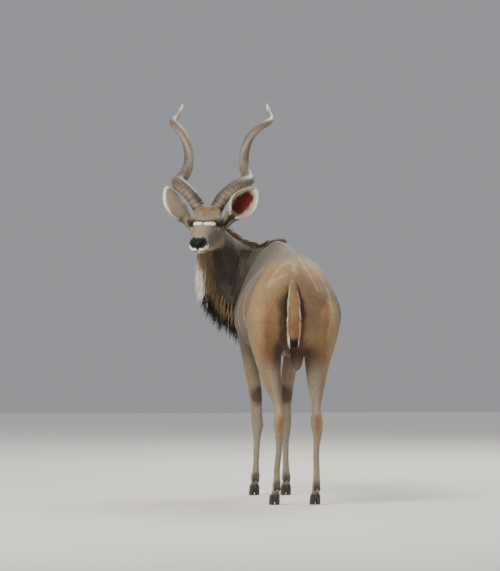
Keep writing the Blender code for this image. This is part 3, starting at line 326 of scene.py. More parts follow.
BODY_BUMPS = [
    # centre, radii, height; each is also raised on the other side
    ((0.19, 0.30, 1.12), (0.06, 0.09, 0.17), 0.016),     # shoulder blade
    ((0.19, 0.47, 1.02), (0.07, 0.07, 0.09), 0.022),     # point of the shoulder
    ((0.20, 0.34, 0.90), (0.06, 0.08, 0.09), 0.014),     # upper arm
    ((0.20, 0.20, 1.00), (0.06, 0.045, 0.20), -0.014),   # hollow behind the shoulder
    ((0.15, -0.38, 1.285), (0.05, 0.06, 0.04), 0.020),   # hook bone
    ((0.20, -0.32, 1.12), (0.07, 0.07, 0.10), -0.026),   # flank hollow
    ((0.22, -0.55, 1.02), (0.07, 0.12, 0.14), 0.014),    # thigh
    ((0.17, -0.38, 0.88), (0.06, 0.07, 0.08), 0.014),    # stifle
    ((0.12, -0.76, 1.12), (0.05, 0.05, 0.05), 0.012),    # seat bone
    ((0.17, -0.70, 0.92), (0.06, 0.05, 0.12), 0.010),    # back of the thigh
    ((0.06, -0.76, 1.02), (0.035, 0.05, 0.16), -0.004),
]
MID_GROOVES = [
    # the cleft between the buttocks, under the tail
    ([(-0.048, -0.80, 1.14), (-0.044, -0.80, 0.95), (-0.030, -0.72, 0.82)], 0.038, -0.034),
]
SIDE_GROOVES = [
    # on each side: places, radius, height
    ([(0.205, -0.30, 1.05), (0.195, -0.36, 0.93), (0.170, -0.42, 0.84)], 0.022, -0.006),       # flank
    ([(0.20, -0.56, 1.22), (0.215, -0.60, 1.05), (0.19, -0.62, 0.90)], 0.020, -0.0035),        # thigh
]
LEG_BUMPS = [
    # share of the leg's stations by index, offset from the centre, radii, height
    ("hind", 8, (0, -0.046, 0.030), (0.020, 0.020, 0.036), 0.016),    # point of the hock
    ("hind", 6, (0, -0.010, 0.0), (0.040, 0.030, 0.050), -0.004),     # hollow before the tendon
    ("fore", 8, (0, 0.036, 0.0), (0.030, 0.020, 0.030), 0.004),       # knee cap
    ("fore", 3, (0, -0.085, 0.010), (0.035, 0.030, 0.035), 0.012),    # point of the elbow
]


def new_object(name, points, faces):
    """A mesh object from points and faces."""
    mesh = bpy.data.meshes.new(name)
    mesh.from_pydata([tuple(p) for p in points], [], faces)
    mesh.update()
    obj = bpy.data.objects.new(name, mesh)
    bpy.context.scene.collection.objects.link(obj)
    return obj


def remove(obj):
    """Drop an object that has served its purpose."""
    bpy.data.objects.remove(obj, do_unlink=True)


def along_rows(places, rows, known, wanted):
    """One column of a table at places given in another column."""
    return np.interp(places, [row[known] for row in rows], [row[wanted] for row in rows])


def between(pairs, place):
    """Value at a place along a list of (place, value) pairs."""
    return float(along_rows(place, pairs, 0, 1))


def smooth_rows(rows, steps):
    """Rows of numbers with smoothly curved rows put between them."""
    table = np.array(rows, dtype=float)
    first = 2 * table[0] - table[1]
    last = 2 * table[-1] - table[-2]
    padded = np.vstack([first, table, last])
    made = []
    for index in range(len(table) - 1):
        a, b, c, d = padded[index:index + 4]
        for step in range(steps):
            t = step / steps
            made.append(0.5 * (2 * b + (c - a) * t + (2 * a - 5 * b + 4 * c - d) * t * t
                               + (3 * b - a - 3 * c + d) * t ** 3))
    made.append(table[-1])
    return made


def ring(centre, across, up, half_across, half_up, count, egg=0.0):
    """An oval ring of points, narrower above by egg."""
    points = []
    for index in range(count):
        turn = 2 * math.pi * index / count
        side = math.cos(turn) * half_across * (1 - egg * math.sin(turn))
        points.append(centre + across * side + up * (math.sin(turn) * half_up))
    return points


def loft(name, rings):
    """A closed skin over rings of equal count."""
    count = len(rings[0])
    points = [p for one in rings for p in one]
    faces = []
    for row in range(len(rings) - 1):
        for index in range(count):
            after = (index + 1) % count
            low, high = row * count, (row + 1) * count
            faces.append((low + index, low + after, high + after, high + index))
    faces.append(tuple(reversed(range(count))))
    faces.append(tuple(range((len(rings) - 1) * count, len(rings) * count)))
    obj = new_object(name, points, faces)
    return face_outward(obj)


def face_outward(obj):
    """Turn the faces outward by the sign of the enclosed volume."""
    mesh = obj.data
    volume = 0.0
    for face in mesh.polygons:
        corners = [mesh.vertices[i].co for i in face.vertices]
        for index in range(1, len(corners) - 1):
            volume += corners[0].dot(corners[index].cross(corners[index + 1]))
    if volume < 0:
        mesh.flip_normals()
    return obj


def smooth(obj, rounds, pull):
    """Even out the skin, each point drawn towards its neighbours."""
    mesh = obj.data
    points = read_points(mesh)
    edges = read_table(mesh.edges, "vertices", 2)
    count = np.bincount(edges.ravel(), minlength=len(points))[:, None]
    for index in range(rounds * 2):
        total = np.zeros_like(points)
        np.add.at(total, edges[:, 0], points[edges[:, 1]])
        np.add.at(total, edges[:, 1], points[edges[:, 0]])
        # a pull in, then a slightly larger push out, so that thin limbs keep their girth
        share = pull if index % 2 == 0 else -pull * 1.04
        points = points + share * (total / np.maximum(count, 1) - points)
    write_points(mesh, points)


def read_table(items, key, width, kind=np.int32):
    """One number or row of numbers for each of the mesh's items."""
    table = np.empty(len(items) * width, dtype=kind)
    items.foreach_get(key, table)
    return table.reshape(-1, width) if width > 1 else table


def read_points(mesh):
    """The mesh's points as rows of numbers."""
    return read_table(mesh.vertices, "co", 3, np.float64)


def write_points(mesh, points):
    """Put rows of numbers back as the mesh's points."""
    mesh.vertices.foreach_set("co", points.ravel())
    mesh.update()


def read_normals(mesh):
    """The mesh's outward directions at its points."""
    return read_table(mesh.vertex_normals, "vector", 3, np.float64)


def keep_largest(obj):
    """Keep only the closed surface with the most faces."""
    mesh = obj.data
    parent = np.arange(len(mesh.vertices))
    edges = read_table(mesh.edges, "vertices", 2)
    changed = True
    while changed:
        low = np.minimum(parent[edges[:, 0]], parent[edges[:, 1]])
        before = parent.copy()
        np.minimum.at(parent, edges[:, 0], low)
        np.minimum.at(parent, edges[:, 1], low)
        parent = parent[parent]
        changed = bool(np.any(before != parent))
    labels, counts = np.unique(parent, return_counts=True)
    if len(labels) < 2:
        return obj
    keep = parent == labels[np.argmax(counts)]
    renumber = np.cumsum(keep) - 1
    points = read_points(mesh)[keep]
    faces = [tuple(int(renumber[i]) for i in face.vertices) for face in mesh.polygons
             if keep[face.vertices[0]]]
    name = obj.name
    fresh = bpy.data.meshes.new(name)
    fresh.from_pydata([tuple(p) for p in points], [], faces)
    fresh.update()
    obj.data = fresh
    return obj


def sculpt(obj, bumps, grooves=()):
    """Raise bumps and sink grooves along the skin's normals."""
    mesh = obj.data
    points, normals = read_points(mesh), read_normals(mesh)
    shift = np.zeros(len(points))
    for centre, radii, height in bumps:
        away = (points - np.array(centre)) / np.array(radii)
        shift += height * np.exp(-np.sum(away * away, axis=1))
    for line, radius, height in grooves:
        shift += height * np.exp(-(line_distance(points, line) / radius) ** 2)
    write_points(mesh, points + normals * shift[:, None])


def line_distance(points, line):
    """Distance of each point from a line of straight pieces."""
    nearest = np.full(len(points), 1e9)
    for start, end in zip(line[:-1], line[1:]):
        start, end = np.array(start), np.array(end)
        along = end - start
        t = np.clip((points - start) @ along / max(along @ along, 1e-12), 0, 1)
        away = points - (start + t[:, None] * along)
        nearest = np.minimum(nearest, np.sqrt(np.sum(away * away, axis=1)))
    return nearest


# The head's own directions
FACE = Vector((-math.sin(FACE_TURN) * math.cos(FACE_DROP),
               -math.cos(FACE_TURN) * math.cos(FACE_DROP), -math.sin(FACE_DROP)))
HEAD_RIGHT = FACE.cross(UP).normalized()
HEAD_UP = HEAD_RIGHT.cross(FACE).normalized()


def in_head(across, forward, up):
    """A place given in the head's own directions; across is positive to the animal's right."""
    return POLL + HEAD_RIGHT * across + FACE * forward + HEAD_UP * up


def neck_frames(steps=4):
    """Centre, way on, way to the nape, sideways, half depth and half width along the neck."""
    rows = smooth_rows([(*c, d, w) for c, d, w in NECK], steps)
    frames = []
    for index, row in enumerate(rows):
        before, after = rows[max(index - 1, 0)], rows[min(index + 1, len(rows) - 1)]
        onward = Vector(after[:3] - before[:3]).normalized()
        side = onward.cross(UP).normalized()
        nape = side.cross(onward).normalized()
        frames.append((Vector(row[:3]), onward, nape, side, row[3], row[4]))
    return frames


def trunk_tube():
    """Rib cage, loin and croup."""
    rings = []
    for y, top, bottom, half, egg, shift in smooth_rows(TRUNK, 3):
        rings.append(ring(Vector((shift, y, (top + bottom) / 2)), RIGHT,
                          UP, half, (top - bottom) / 2, 40, egg))
    return loft("trunk", rings)


def neck_tube():
    """The neck from inside the chest to inside the skull."""
    rings = [ring(centre, side, nape, width, depth, 32, 0.12)
             for centre, _, nape, side, depth, width in neck_frames()]
    return loft("neck", rings)


def leg_centre(side, lean, row):
    """Where a leg's station stands: mirrored, and leant sideways as this leg is."""
    x, y, z = row[0], row[1], row[2]
    return Vector((side * x + between(lean, z), y, z))


def leg_tube(name):
    """One leg from inside the trunk to the coronet."""
    stations, side, lean = FEET[name]
    rings = []
    for row in smooth_rows(stations, 3):
        rings.append(ring(leg_centre(side, lean, row), RIGHT,
                          AHEAD, row[3], row[4], 24))
    return loft(name, rings)


def head_tube():
    """Skull and muzzle."""
    rings = []
    for forward, top, bottom, half, egg in smooth_rows(HEAD, 3):
        centre = in_head(0, forward, (top + bottom) / 2)
        rings.append(ring(centre, HEAD_RIGHT, HEAD_UP, half, (top - bottom) / 2, 32, egg))
    return loft("head", rings)


def horn_axis():
    """The straight line that a horn winds about: back and up from the poll."""
    level = Vector((FACE.x, FACE.y, 0)).normalized()
    axis = -level * math.cos(HORN_RISE) + UP * math.sin(HORN_RISE)
    axis = (axis + HEAD_RIGHT * 0.030).normalized()
    ahead = (level * math.sin(HORN_RISE) + UP * math.cos(HORN_RISE)).normalized()
    return axis, ahead


def horn_point(side, place):
    """A point on a horn's middle line, and its turn, at a place along the straight axis."""
    axis, ahead = horn_axis()
    turn = 2 * math.pi * HORN_TURNS * place / HORN_STRAIGHT
    fade = min(place / 0.06, 1.0)
    coil = HORN_COIL * (1 - 0.25 * place / HORN_STRAIGHT)
    across = between(HORN_DRIFT, place) - coil * math.cos(turn)
    forward = HORN_FORWARD * (1 - 0.35 * place / HORN_STRAIGHT) * math.sin(turn) * fade
    start = in_head(0, HORN_BASE[1], HORN_BASE[2])
    return start + axis * place + HEAD_RIGHT * (side * across) + ahead * forward, turn


def horn_rings(side, places, swell, sides):
    """Rings of a horn with a keel that follows the winding."""
    rings = []
    for place in places:
        centre, turn = horn_point(side, place)
        onward = (horn_point(side, place + 0.004)[0] - horn_point(side, place - 0.004)[0]).normalized()
        first = (HEAD_RIGHT * side - onward * onward.dot(HEAD_RIGHT * side)).normalized()
        second = onward.cross(first) * side
        radius = between(HORN_RADIUS, place) + swell
        points = []
        for index in range(sides):
            angle = 2 * math.pi * index / sides
            keel = 1 + HORN_KEEL * max(0.0, math.cos(angle)) ** 6
            way = angle + math.radians(100) - turn
            points.append(centre + (first * math.cos(way) + second * math.sin(way)) * radius * keel)
        rings.append(points)
    return rings


def ear_frame(side):
    """Base, way to the tip, way that the cup opens, and sideways, for an ear."""
    base = in_head(EAR_BASE[0] * side, EAR_BASE[1], EAR_BASE[2])
    if side < 0:
        along = Vector((0.144, -0.030, 0.166)).normalized()
        opens = Vector((0.10, -0.98, 0.05))
    else:
        along = Vector((-0.116, 0.055, 0.160)).normalized()
        opens = Vector((-0.72, 0.62, -0.25))
    opens = (opens - along * opens.dot(along)).normalized()
    return base, along, opens, along.cross(opens).normalized()


def throat_line(first, last, count):
    """Places along the throat, with the neck's directions there."""
    frames = neck_frames(8)
    made = []
    for index in range(count):
        frame = frames[int(round((first + (last - first) * index / (count - 1)) * (len(frames) - 1)))]
        made.append((frame[0] - frame[2] * frame[4], frame))
    return made


def beard_fold():
    """The low fold of skin along the throat that the throat mane grows from."""
    rings = []
    for place, frame in throat_line(0.20, 0.94, 12):
        middle = place - frame[2] * (BEARD_RIDGE - 0.022)
        rings.append(ring(middle, frame[3], frame[2], 0.024, 0.022, 12))
    return loft("fold", rings)


def crest_fold():
    """The low ridge along the nape that the nape mane grows from."""
    rings = []
    for centre, _, nape, side, depth, _ in neck_frames(2)[3:]:
        rings.append(ring(centre + nape * (depth - 0.008), side, nape, 0.018, 0.020, 10))
    return loft("crest", rings)


def shift_to_solids():
    """How far the animal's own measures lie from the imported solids, from the place of the left eye."""
    low, high = SOLID_EYES["left"]
    return (low + high) / 2 - in_head(-EYE[0], EYE[1], EYE[2])


def store(obj, name, values):
    """Keep a number or a colour for each of the mesh's points, for its material."""
    if np.ndim(values) == 1:
        made = obj.data.attributes.new(name, "FLOAT", "POINT")
        made.data.foreach_set("value", np.array(values, dtype=np.float32))
        return
    table = np.ones((len(values), 4), dtype=np.float32)
    table[:, :3] = values
    made = obj.data.attributes.new(name, "FLOAT_COLOR", "POINT")
    made.data.foreach_set("color", table.ravel())


def select_only(obj):
    """Make the object the only selected and the active one."""
    bpy.ops.object.select_all(action="DESELECT")
    obj.select_set(True)
    bpy.context.view_layer.objects.active = obj


def apply_all(obj):
    """Apply every modifier of the object."""
    select_only(obj)
    for modifier in list(obj.modifiers):
        bpy.ops.object.modifier_apply(modifier=modifier.name)
    return obj


def join(name, pieces):
    """Join the pieces into one object."""
    select_only(pieces[0])
    for piece in pieces:
        piece.select_set(True)
    bpy.ops.object.join()
    pieces[0].name = name
    pieces[0].data.name = name
    return pieces[0]


def ball(name, centre, radii, segments=32, rows=20):
    """A ball with a radius for each axis."""
    bpy.ops.object.select_all(action="DESELECT")
    bpy.ops.mesh.primitive_uv_sphere_add(segments=segments, ring_count=rows, radius=1.0, location=centre)
    obj = bpy.context.active_object
    obj.name = name
    obj.scale = radii
    bpy.ops.object.transform_apply(location=True, rotation=True, scale=True)
    return obj


def finish_piece(obj, node_names, smooth_shade=True):
    """Stand the piece on the solids, hang it from the root body and hide the solids that it stands for."""
    points = read_points(obj.data) + np.array(shift_to_solids())
    write_points(obj.data, points)
    if smooth_shade:
        select_only(obj)
        bpy.ops.object.shade_smooth()
    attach(obj, "root")
    if node_names:
        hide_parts(*node_names)
    return obj


def ease(value):
    """A soft step from 0 to 1."""
    t = np.clip(value, 0.0, 1.0)
    return t * t * (3 - 2 * t)


def unit(rows):
    """Rows of three numbers, each brought to length 1."""
    return rows / np.maximum(np.linalg.norm(rows, axis=1), 1e-9)[:, None]


def above(values, start, width):
    """0 below the start, 1 past the width above it."""
    return ease((values - start) / width)


def below(values, start, width):
    """0 above the start, 1 past the width below it."""
    return ease((start - values) / width)


def ripple(points, size, seed):
    """Soft irregular waves from -1 to 1 over the points."""
    chance = np.random.default_rng(seed)
    total = np.zeros(len(points))
    for _ in range(7):
        way = chance.normal(size=3)
        way /= np.linalg.norm(way)
        total += np.sin(points @ way * (2 * math.pi / (size * chance.uniform(0.6, 1.7)))
                        + chance.uniform(0, 2 * math.pi))
    return total / 4.0


# Way that the coat lies: a place and a way there

def lie_marks():
    """Places over the body with the way that the coat lies there."""
    marks = []
    for centre, onward, nape, side, depth, width in neck_frames(2):
        marks.append((centre, -onward + Vector((0, 0, -0.35))))
    for index in range(6):
        marks.append((in_head(0, -0.03 + 0.085 * index, -0.06), -FACE + Vector((0, 0, -0.15))))
    for index in range(12):
        marks.append((Vector((0, -0.58 + 0.095 * index, 1.18)), Vector((0, -1.0, -0.25))))
        marks.append((Vector((0, -0.58 + 0.095 * index, 0.92)), Vector((0, -0.8, -0.75))))
    for z in (1.20, 1.08, 0.96):
        for x in (-0.14, 0.08):
            marks.append((Vector((x, -0.78, z)), Vector((0, -0.10, -1.0))))
    for stations, side, lean in FEET.values():
        for row in stations[1:]:
            marks.append((leg_centre(side, lean, row), Vector((0, -0.12, -1.0))))
    return marks


def lie_of(points):
    """Unit ways of the coat at the points."""
    total = np.zeros((len(points), 3))
    for place, way in lie_marks():
        away = points - np.array(place)
        weight = np.exp(-np.sum(away * away, axis=1) / (2 * 0.11 ** 2)) + 1e-12
        total += weight[:, None] * np.array(way.normalized())
    return unit(total)


def head_places(points):
    """The points in the head's own directions: across, forward, up."""
    away = points - np.array(POLL)
    return np.stack([away @ np.array(HEAD_RIGHT), away @ np.array(FACE), away @ np.array(HEAD_UP)], axis=1)


def on_face(across, forward):
    """A place on the upper surface of the head."""
    top, bottom, half = (float(along_rows(forward, HEAD, 0, i)) for i in (1, 2, 3))
    reach = math.sqrt(max(0.0, 1 - (across / half) ** 2))
    return (across, forward, (top + bottom) / 2 + (top - bottom) / 2 * reach)


# Shape of the skin

def eyelids(points):
    """The points with lids drawn over the eyeballs and the openings sunk behind them."""
    points = points.copy()
    for side in (-1, 1):
        look = (HEAD_RIGHT * side * 0.86 + FACE * 0.50).normalized()
        onward = (FACE - look * FACE.dot(look)).normalized()
        rise = look.cross(onward) * -side
        if rise.z < 0:
            rise = -rise
        away = points - np.array(in_head(EYE[0] * side, EYE[1], EYE[2]))
        along, high = away @ np.array(onward), away @ np.array(look)
        up = away @ np.array(rise) + 0.16 * along
        wide = np.sqrt(along ** 2 + up ** 2)
        near = (wide < 0.060) & (high > -0.045) & (high < 0.045)
        shell = EYE_RADIUS + 0.0030 + 0.0012 * (up > 0)
        dome = np.sqrt(np.maximum(shell ** 2 - wide ** 2, 0))
        dome = np.where(wide > 0.9 * shell, 0.436 * shell - 2.06 * (wide - 0.9 * shell), dome)
        raised = high + 0.004 * np.exp(-(wide / 0.034) ** 2)
        gap = np.abs(raised - dome)
        lids = np.maximum(raised, dome) + 0.003 * np.log(1 + np.exp(-np.minimum(gap / 0.003, 30)))
        slit = LID_HALF_HEIGHT * (1 - (along / LID_HALF_LENGTH) ** 2)
        opening = 1 - ease((np.abs(up + 0.0010) - slit) / 0.0018 + 0.5)
        crease = np.exp(-((np.abs(up - 0.001) - slit - 0.0055) / 0.0016) ** 2)
        crease = 0.0016 * crease * (wide < 0.022) * (up > 0)
        ball_front = np.sqrt(np.maximum(EYE_RADIUS ** 2 - wide ** 2, 0)) - 0.0050
        target = (lids - crease) * (1 - opening) + ball_front * opening
        points += np.where(near, target - high, 0.0)[:, None] * np.array(look)
    return points


def head_forms():
    """Brow, jaw, tear gland, nostrils, lips and the line of the mouth."""
    bumps, grooves = [], []
    for side in (-1, 1):
        for (across, forward, up), radii, height in HEAD_BUMPS:
            bumps.append((tuple(in_head(across * side, forward, up)), radii, height))
        for line, radius, height in HEAD_GROOVES:
            grooves.append(([tuple(in_head(p[0] * side, p[1], p[2])) for p in line], radius, height))
    for line, radius, height in NOSE_GROOVES:
        grooves.append(([tuple(in_head(*p)) for p in line], radius, height))
    return bumps, grooves


def folds_on_neck(obj):
    """The neck's folds, cast along the view from behind onto the skin."""
    tree = BVHTree.FromObject(obj, bpy.context.evaluated_depsgraph_get())
    lines = []
    for fold in NECK_FOLDS:
        line = []
        lines.append(line)
        for step in range(4 * len(fold) - 3):
            place, height = (between(list(enumerate(values)), step / 4) for values in (fold, FOLD_HEIGHTS))
            hit = tree.ray_cast(Vector((place + FOLD_ASIDE, FOLD_BEHIND, height)), FOLD_VIEW)[0]
            if hit is None or hit.y < FOLD_LIMIT:
                continue
            if line and (Vector(line[-1]) - hit).length > 0.06:
                line = []
                lines.append(line)
            line.append(tuple(hit))
    return [line for line in lines if len(line) > 2]


def body_forms():
    """Muscles, bones and creases of trunk, neck and legs."""
    bumps = []
    for centre, radii, height in BODY_BUMPS:
        for side in (-1, 1):
            bumps.append(((centre[0] * side, centre[1], centre[2]), radii, height))
    for kind, index, offset, radii, height in LEG_BUMPS:
        for stations, side, lean in FEET.values():
            if (kind == "hind") == (stations is HIND_LEG):
                bumps.append((tuple(leg_centre(side, lean, stations[index]) + Vector(offset)), radii, height))
    for row in range(9):
        for side in (-1, 1):
            bumps.append(((side * 0.26, -0.20 + 0.048 * row, 1.00), (0.10, 0.012, 0.17), 0.0035))
    grooves = list(MID_GROOVES)
    for fold in FOLDS:
        grooves.append((fold, 0.0070, -0.0105))
        grooves.append(([(x - 0.011, y + 0.008, z) for x, y, z in fold], 0.009, 0.0045))
    for stations, side, lean in FEET.values():
        low, high = (9, 12) if stations is HIND_LEG else (9, 11)
        for way in (-1, 1):
            line = [tuple(leg_centre(side, lean, row) + Vector((way * row[3] * 0.9, -row[4] * 0.42, 0)))
                    for row in stations[low:high + 1]]
            grooves.append((line, 0.0060, -0.0034))
    for side in (-1, 1):
        for line, radius, height in SIDE_GROOVES:
            grooves.append(([(side * x, y, z) for x, y, z in line], radius, height))
    return bumps, grooves


def refine(obj, keep):
    """Subdivide the faces whose corners all pass the test."""
    select_only(obj)
    bpy.ops.object.mode_set(mode="EDIT")
    bpy.ops.mesh.select_all(action="DESELECT")
    bpy.ops.object.mode_set(mode="OBJECT")
    mesh = obj.data
    chosen = keep(read_points(mesh))
    loops = read_table(mesh.loops, "vertex_index", 1)
    starts = read_table(mesh.polygons, "loop_start", 1)
    inside = np.minimum.reduceat(chosen[loops].astype(np.int8), starts).astype(bool)
    mesh.polygons.foreach_set("select", inside)
    bpy.ops.object.mode_set(mode="EDIT")
    bpy.ops.mesh.select_mode(type="FACE")
    bpy.ops.mesh.subdivide(number_cuts=1, smoothness=0.6)
    bpy.ops.object.mode_set(mode="OBJECT")
    return obj


def smooth_curve(pairs, steps=6):
    """Pairs of place and value with smoothly curved pairs between them."""
    return [tuple(row) for row in smooth_rows(pairs, steps)]


def ear_section(frame, place, outline, closing):
    """How far an ear closes at a place along it, with its radius and its middle there."""
    base, along, opens, _ = frame
    reach = math.radians(between(closing, place))
    half = EAR_HALF_WIDTH * between(outline, place)
    radius = half / math.sin(min(reach, math.pi / 2))
    depth = -0.35 * radius * (1 - math.cos(min(reach, math.pi / 2)))
    return reach, radius, base + along * (EAR_LENGTH * place) + opens * (radius + depth - 0.010 * place)


def ear_shape(name, side):
    """One ear: a cupped leaf, closed to a tube at its foot, thin at its rim."""
    rows, columns = 46, 26
    frame = ear_frame(side)
    _, _, opens, sideways = frame
    outline, closing = smooth_curve(EAR_OUTLINE), smooth_curve(EAR_CLOSING)
    rings = []
    for row in range(rows + 1):
        place = EAR_ROOT + (1 - EAR_ROOT) * row / rows
        reach, radius, centre = ear_section(frame, place, outline, closing)
        thick = EAR_THICKNESS * (1.0 - 0.45 * place) / 2
        outer, inner = [], []
        for column in range(columns + 1):
            share = 2 * column / columns - 1
            angle = reach * share
            way = sideways * math.sin(angle) - opens * math.cos(angle)
            rib = 0.0010 * math.cos(share * 17) * max(0.0, 1 - abs(share) * 1.2)
            slim = thick * (0.45 + 0.55 * math.sqrt(max(0.0, 1 - share ** 6)))
            outer.append(centre + way * (radius + slim))
            inner.append(centre + way * (radius - slim + rib))
        rings.append(outer + list(reversed(inner)))
    return loft(name, rings)


def tail_core():
    """The fleshy tail under its hair."""
    rows = smooth_rows(TAIL, 6)
    rings = []
    for index, (y, z, half, thick) in enumerate(rows):
        before, after = rows[max(index - 1, 0)], rows[min(index + 1, len(rows) - 1)]
        onward = Vector((0, after[0] - before[0], after[1] - before[1])).normalized()
        out = RIGHT.cross(onward).normalized()
        rings.append(ring(Vector((TAIL_SIDE, y, z)), RIGHT, out,
                          max(half - 0.006, 0.003), max(thick - 0.004, 0.003), 20))
    return loft("tail_core", rings)


def skin_shape():
    """The whole skin from muzzle to coronets, with its ears and tail."""
    pieces = [trunk_tube(), neck_tube(), head_tube()]
    for name, (stations, side, lean) in FEET.items():
        pieces.append(leg_tube(name))
        row = stations[13]
        for way in (-1, 1):
            place = leg_centre(side, lean, row) + Vector((way * 0.013, -row[4] - 0.002, -0.010))
            pieces.append(ball("dewclaw_root", place, (0.010, 0.011, 0.017), 12, 8))
    pieces.append(ball("scrotum", Vector((-0.013, -0.610, 0.800)), (0.038, 0.046, 0.088)))
    pieces.append(ball("sheath", Vector((-0.006, -0.180, 0.812)), (0.032, 0.090, 0.042)))
    for side in (-1, 1):
        pieces.append(loft("horn_root", horn_rings(side, [-0.030, -0.010, 0.008, 0.020], 0.0080, 20)))
    pieces.append(beard_fold())
    pieces.append(crest_fold())
    skin = join("kudu_skin", pieces)
    remesh = skin.modifiers.new("Merge", "REMESH")
    remesh.mode = "VOXEL"
    remesh.voxel_size = SKIN_VOXEL
    apply_all(skin)
    smooth(skin, 5, 0.5)
    keep_largest(skin)
    FOLDS[:] = folds_on_neck(skin)
    refine(skin, seen_close)
    smooth(skin, 1, 0.3)
    refine(skin, fine_parts_of_head)
    bumps, grooves = body_forms()
    sculpt(skin, bumps, grooves)
    bumps, grooves = head_forms()
    sculpt(skin, bumps, grooves)
    points = read_points(skin.data) - read_normals(skin.data) * bpy.context.scene.kudu_coat.depth
    write_points(skin.data, eyelids(points))
    smooth(skin, 1, 0.25)
    extra = [ear_shape("left_ear_skin", -1), ear_shape("right_ear_skin", 1), tail_core()]
    return unite(skin, extra)


def seen_close(points):
    """Which points lie on the head, by a fold of the neck or by a pale line of the rump."""
    across, forward, up = head_places(points).T
    chosen = (forward > -0.06) & (forward < 0.45) & (np.abs(across) < 0.17) & (np.abs(up) < 0.24)
    for fold in FOLDS:
        chosen |= line_distance(points, fold) < 0.022
    behind = points[:, 1] < -0.40
    for line in RUMP_LINES:
        chosen |= behind & (line_distance(points * (1, 0, 1), [(px, 0, pz) for px, pz in line]) < 0.018)
    return chosen


def fine_parts_of_head(points):
    """Which points lie round the eyes and on the end of the muzzle."""
    here = head_places(points)
    eye = ((np.abs(np.abs(here[:, 0]) - EYE[0]) < 0.034) & (np.abs(here[:, 1] - EYE[1]) < 0.052)
           & (np.abs(here[:, 2] - EYE[2]) < 0.046))
    muzzle = (here[:, 1] > 0.325) & (here[:, 1] < 0.45) & (here[:, 2] < 0.06) & (here[:, 2] > -0.14)
    muzzle &= np.abs(here[:, 0]) < 0.09
    return eye | muzzle


def unite(obj, tools):
    """One closed union of the object and the tools."""
    group = bpy.data.collections.new("tools")
    bpy.context.scene.collection.children.link(group)
    for tool in tools:
        group.objects.link(tool)
    change = obj.modifiers.new("Union", "BOOLEAN")
    change.operation = "UNION"
    change.operand_type = "COLLECTION"
    change.collection = group
    change.solver = "MANIFOLD"
    before = len(obj.data.polygons)
    apply_all(obj)
    for tool in tools:
        remove(tool)
    bpy.data.collections.remove(group)
    if len(obj.data.polygons) < before:
        raise RuntimeError("the ears and the tail did not join the skin")
    return obj


# Markings, the same for the skin and for every tuft that grows from it

def near_line(points, line, radius, soft):
    """1 on the line, 0 away from it."""
    return 1 - ease((line_distance(points, line) - radius) / soft)


def near_place(points, centre, radii):
    """1 at the centre, fading to 0 past the radii."""
    away = (points - np.array(centre)) / np.array(radii)
    return 1 - ease((np.sqrt(np.sum(away * away, axis=1)) - 0.55) / 0.9)


def bell(values, middle, width):
    """A bell curve: 1 at the middle, fading evenly to both sides."""
    return np.exp(-((values - middle) / width) ** 2)


def brush(colours):
    """The means to lay a colour over these where a mask says."""
    def paint(mask, colour, strength=1.0):
        share = (np.clip(mask, 0, 1) * strength)[:, None]
        colours[:] = colours * (1 - share) + np.array(tuple(colour)[:3]) * share
    return paint


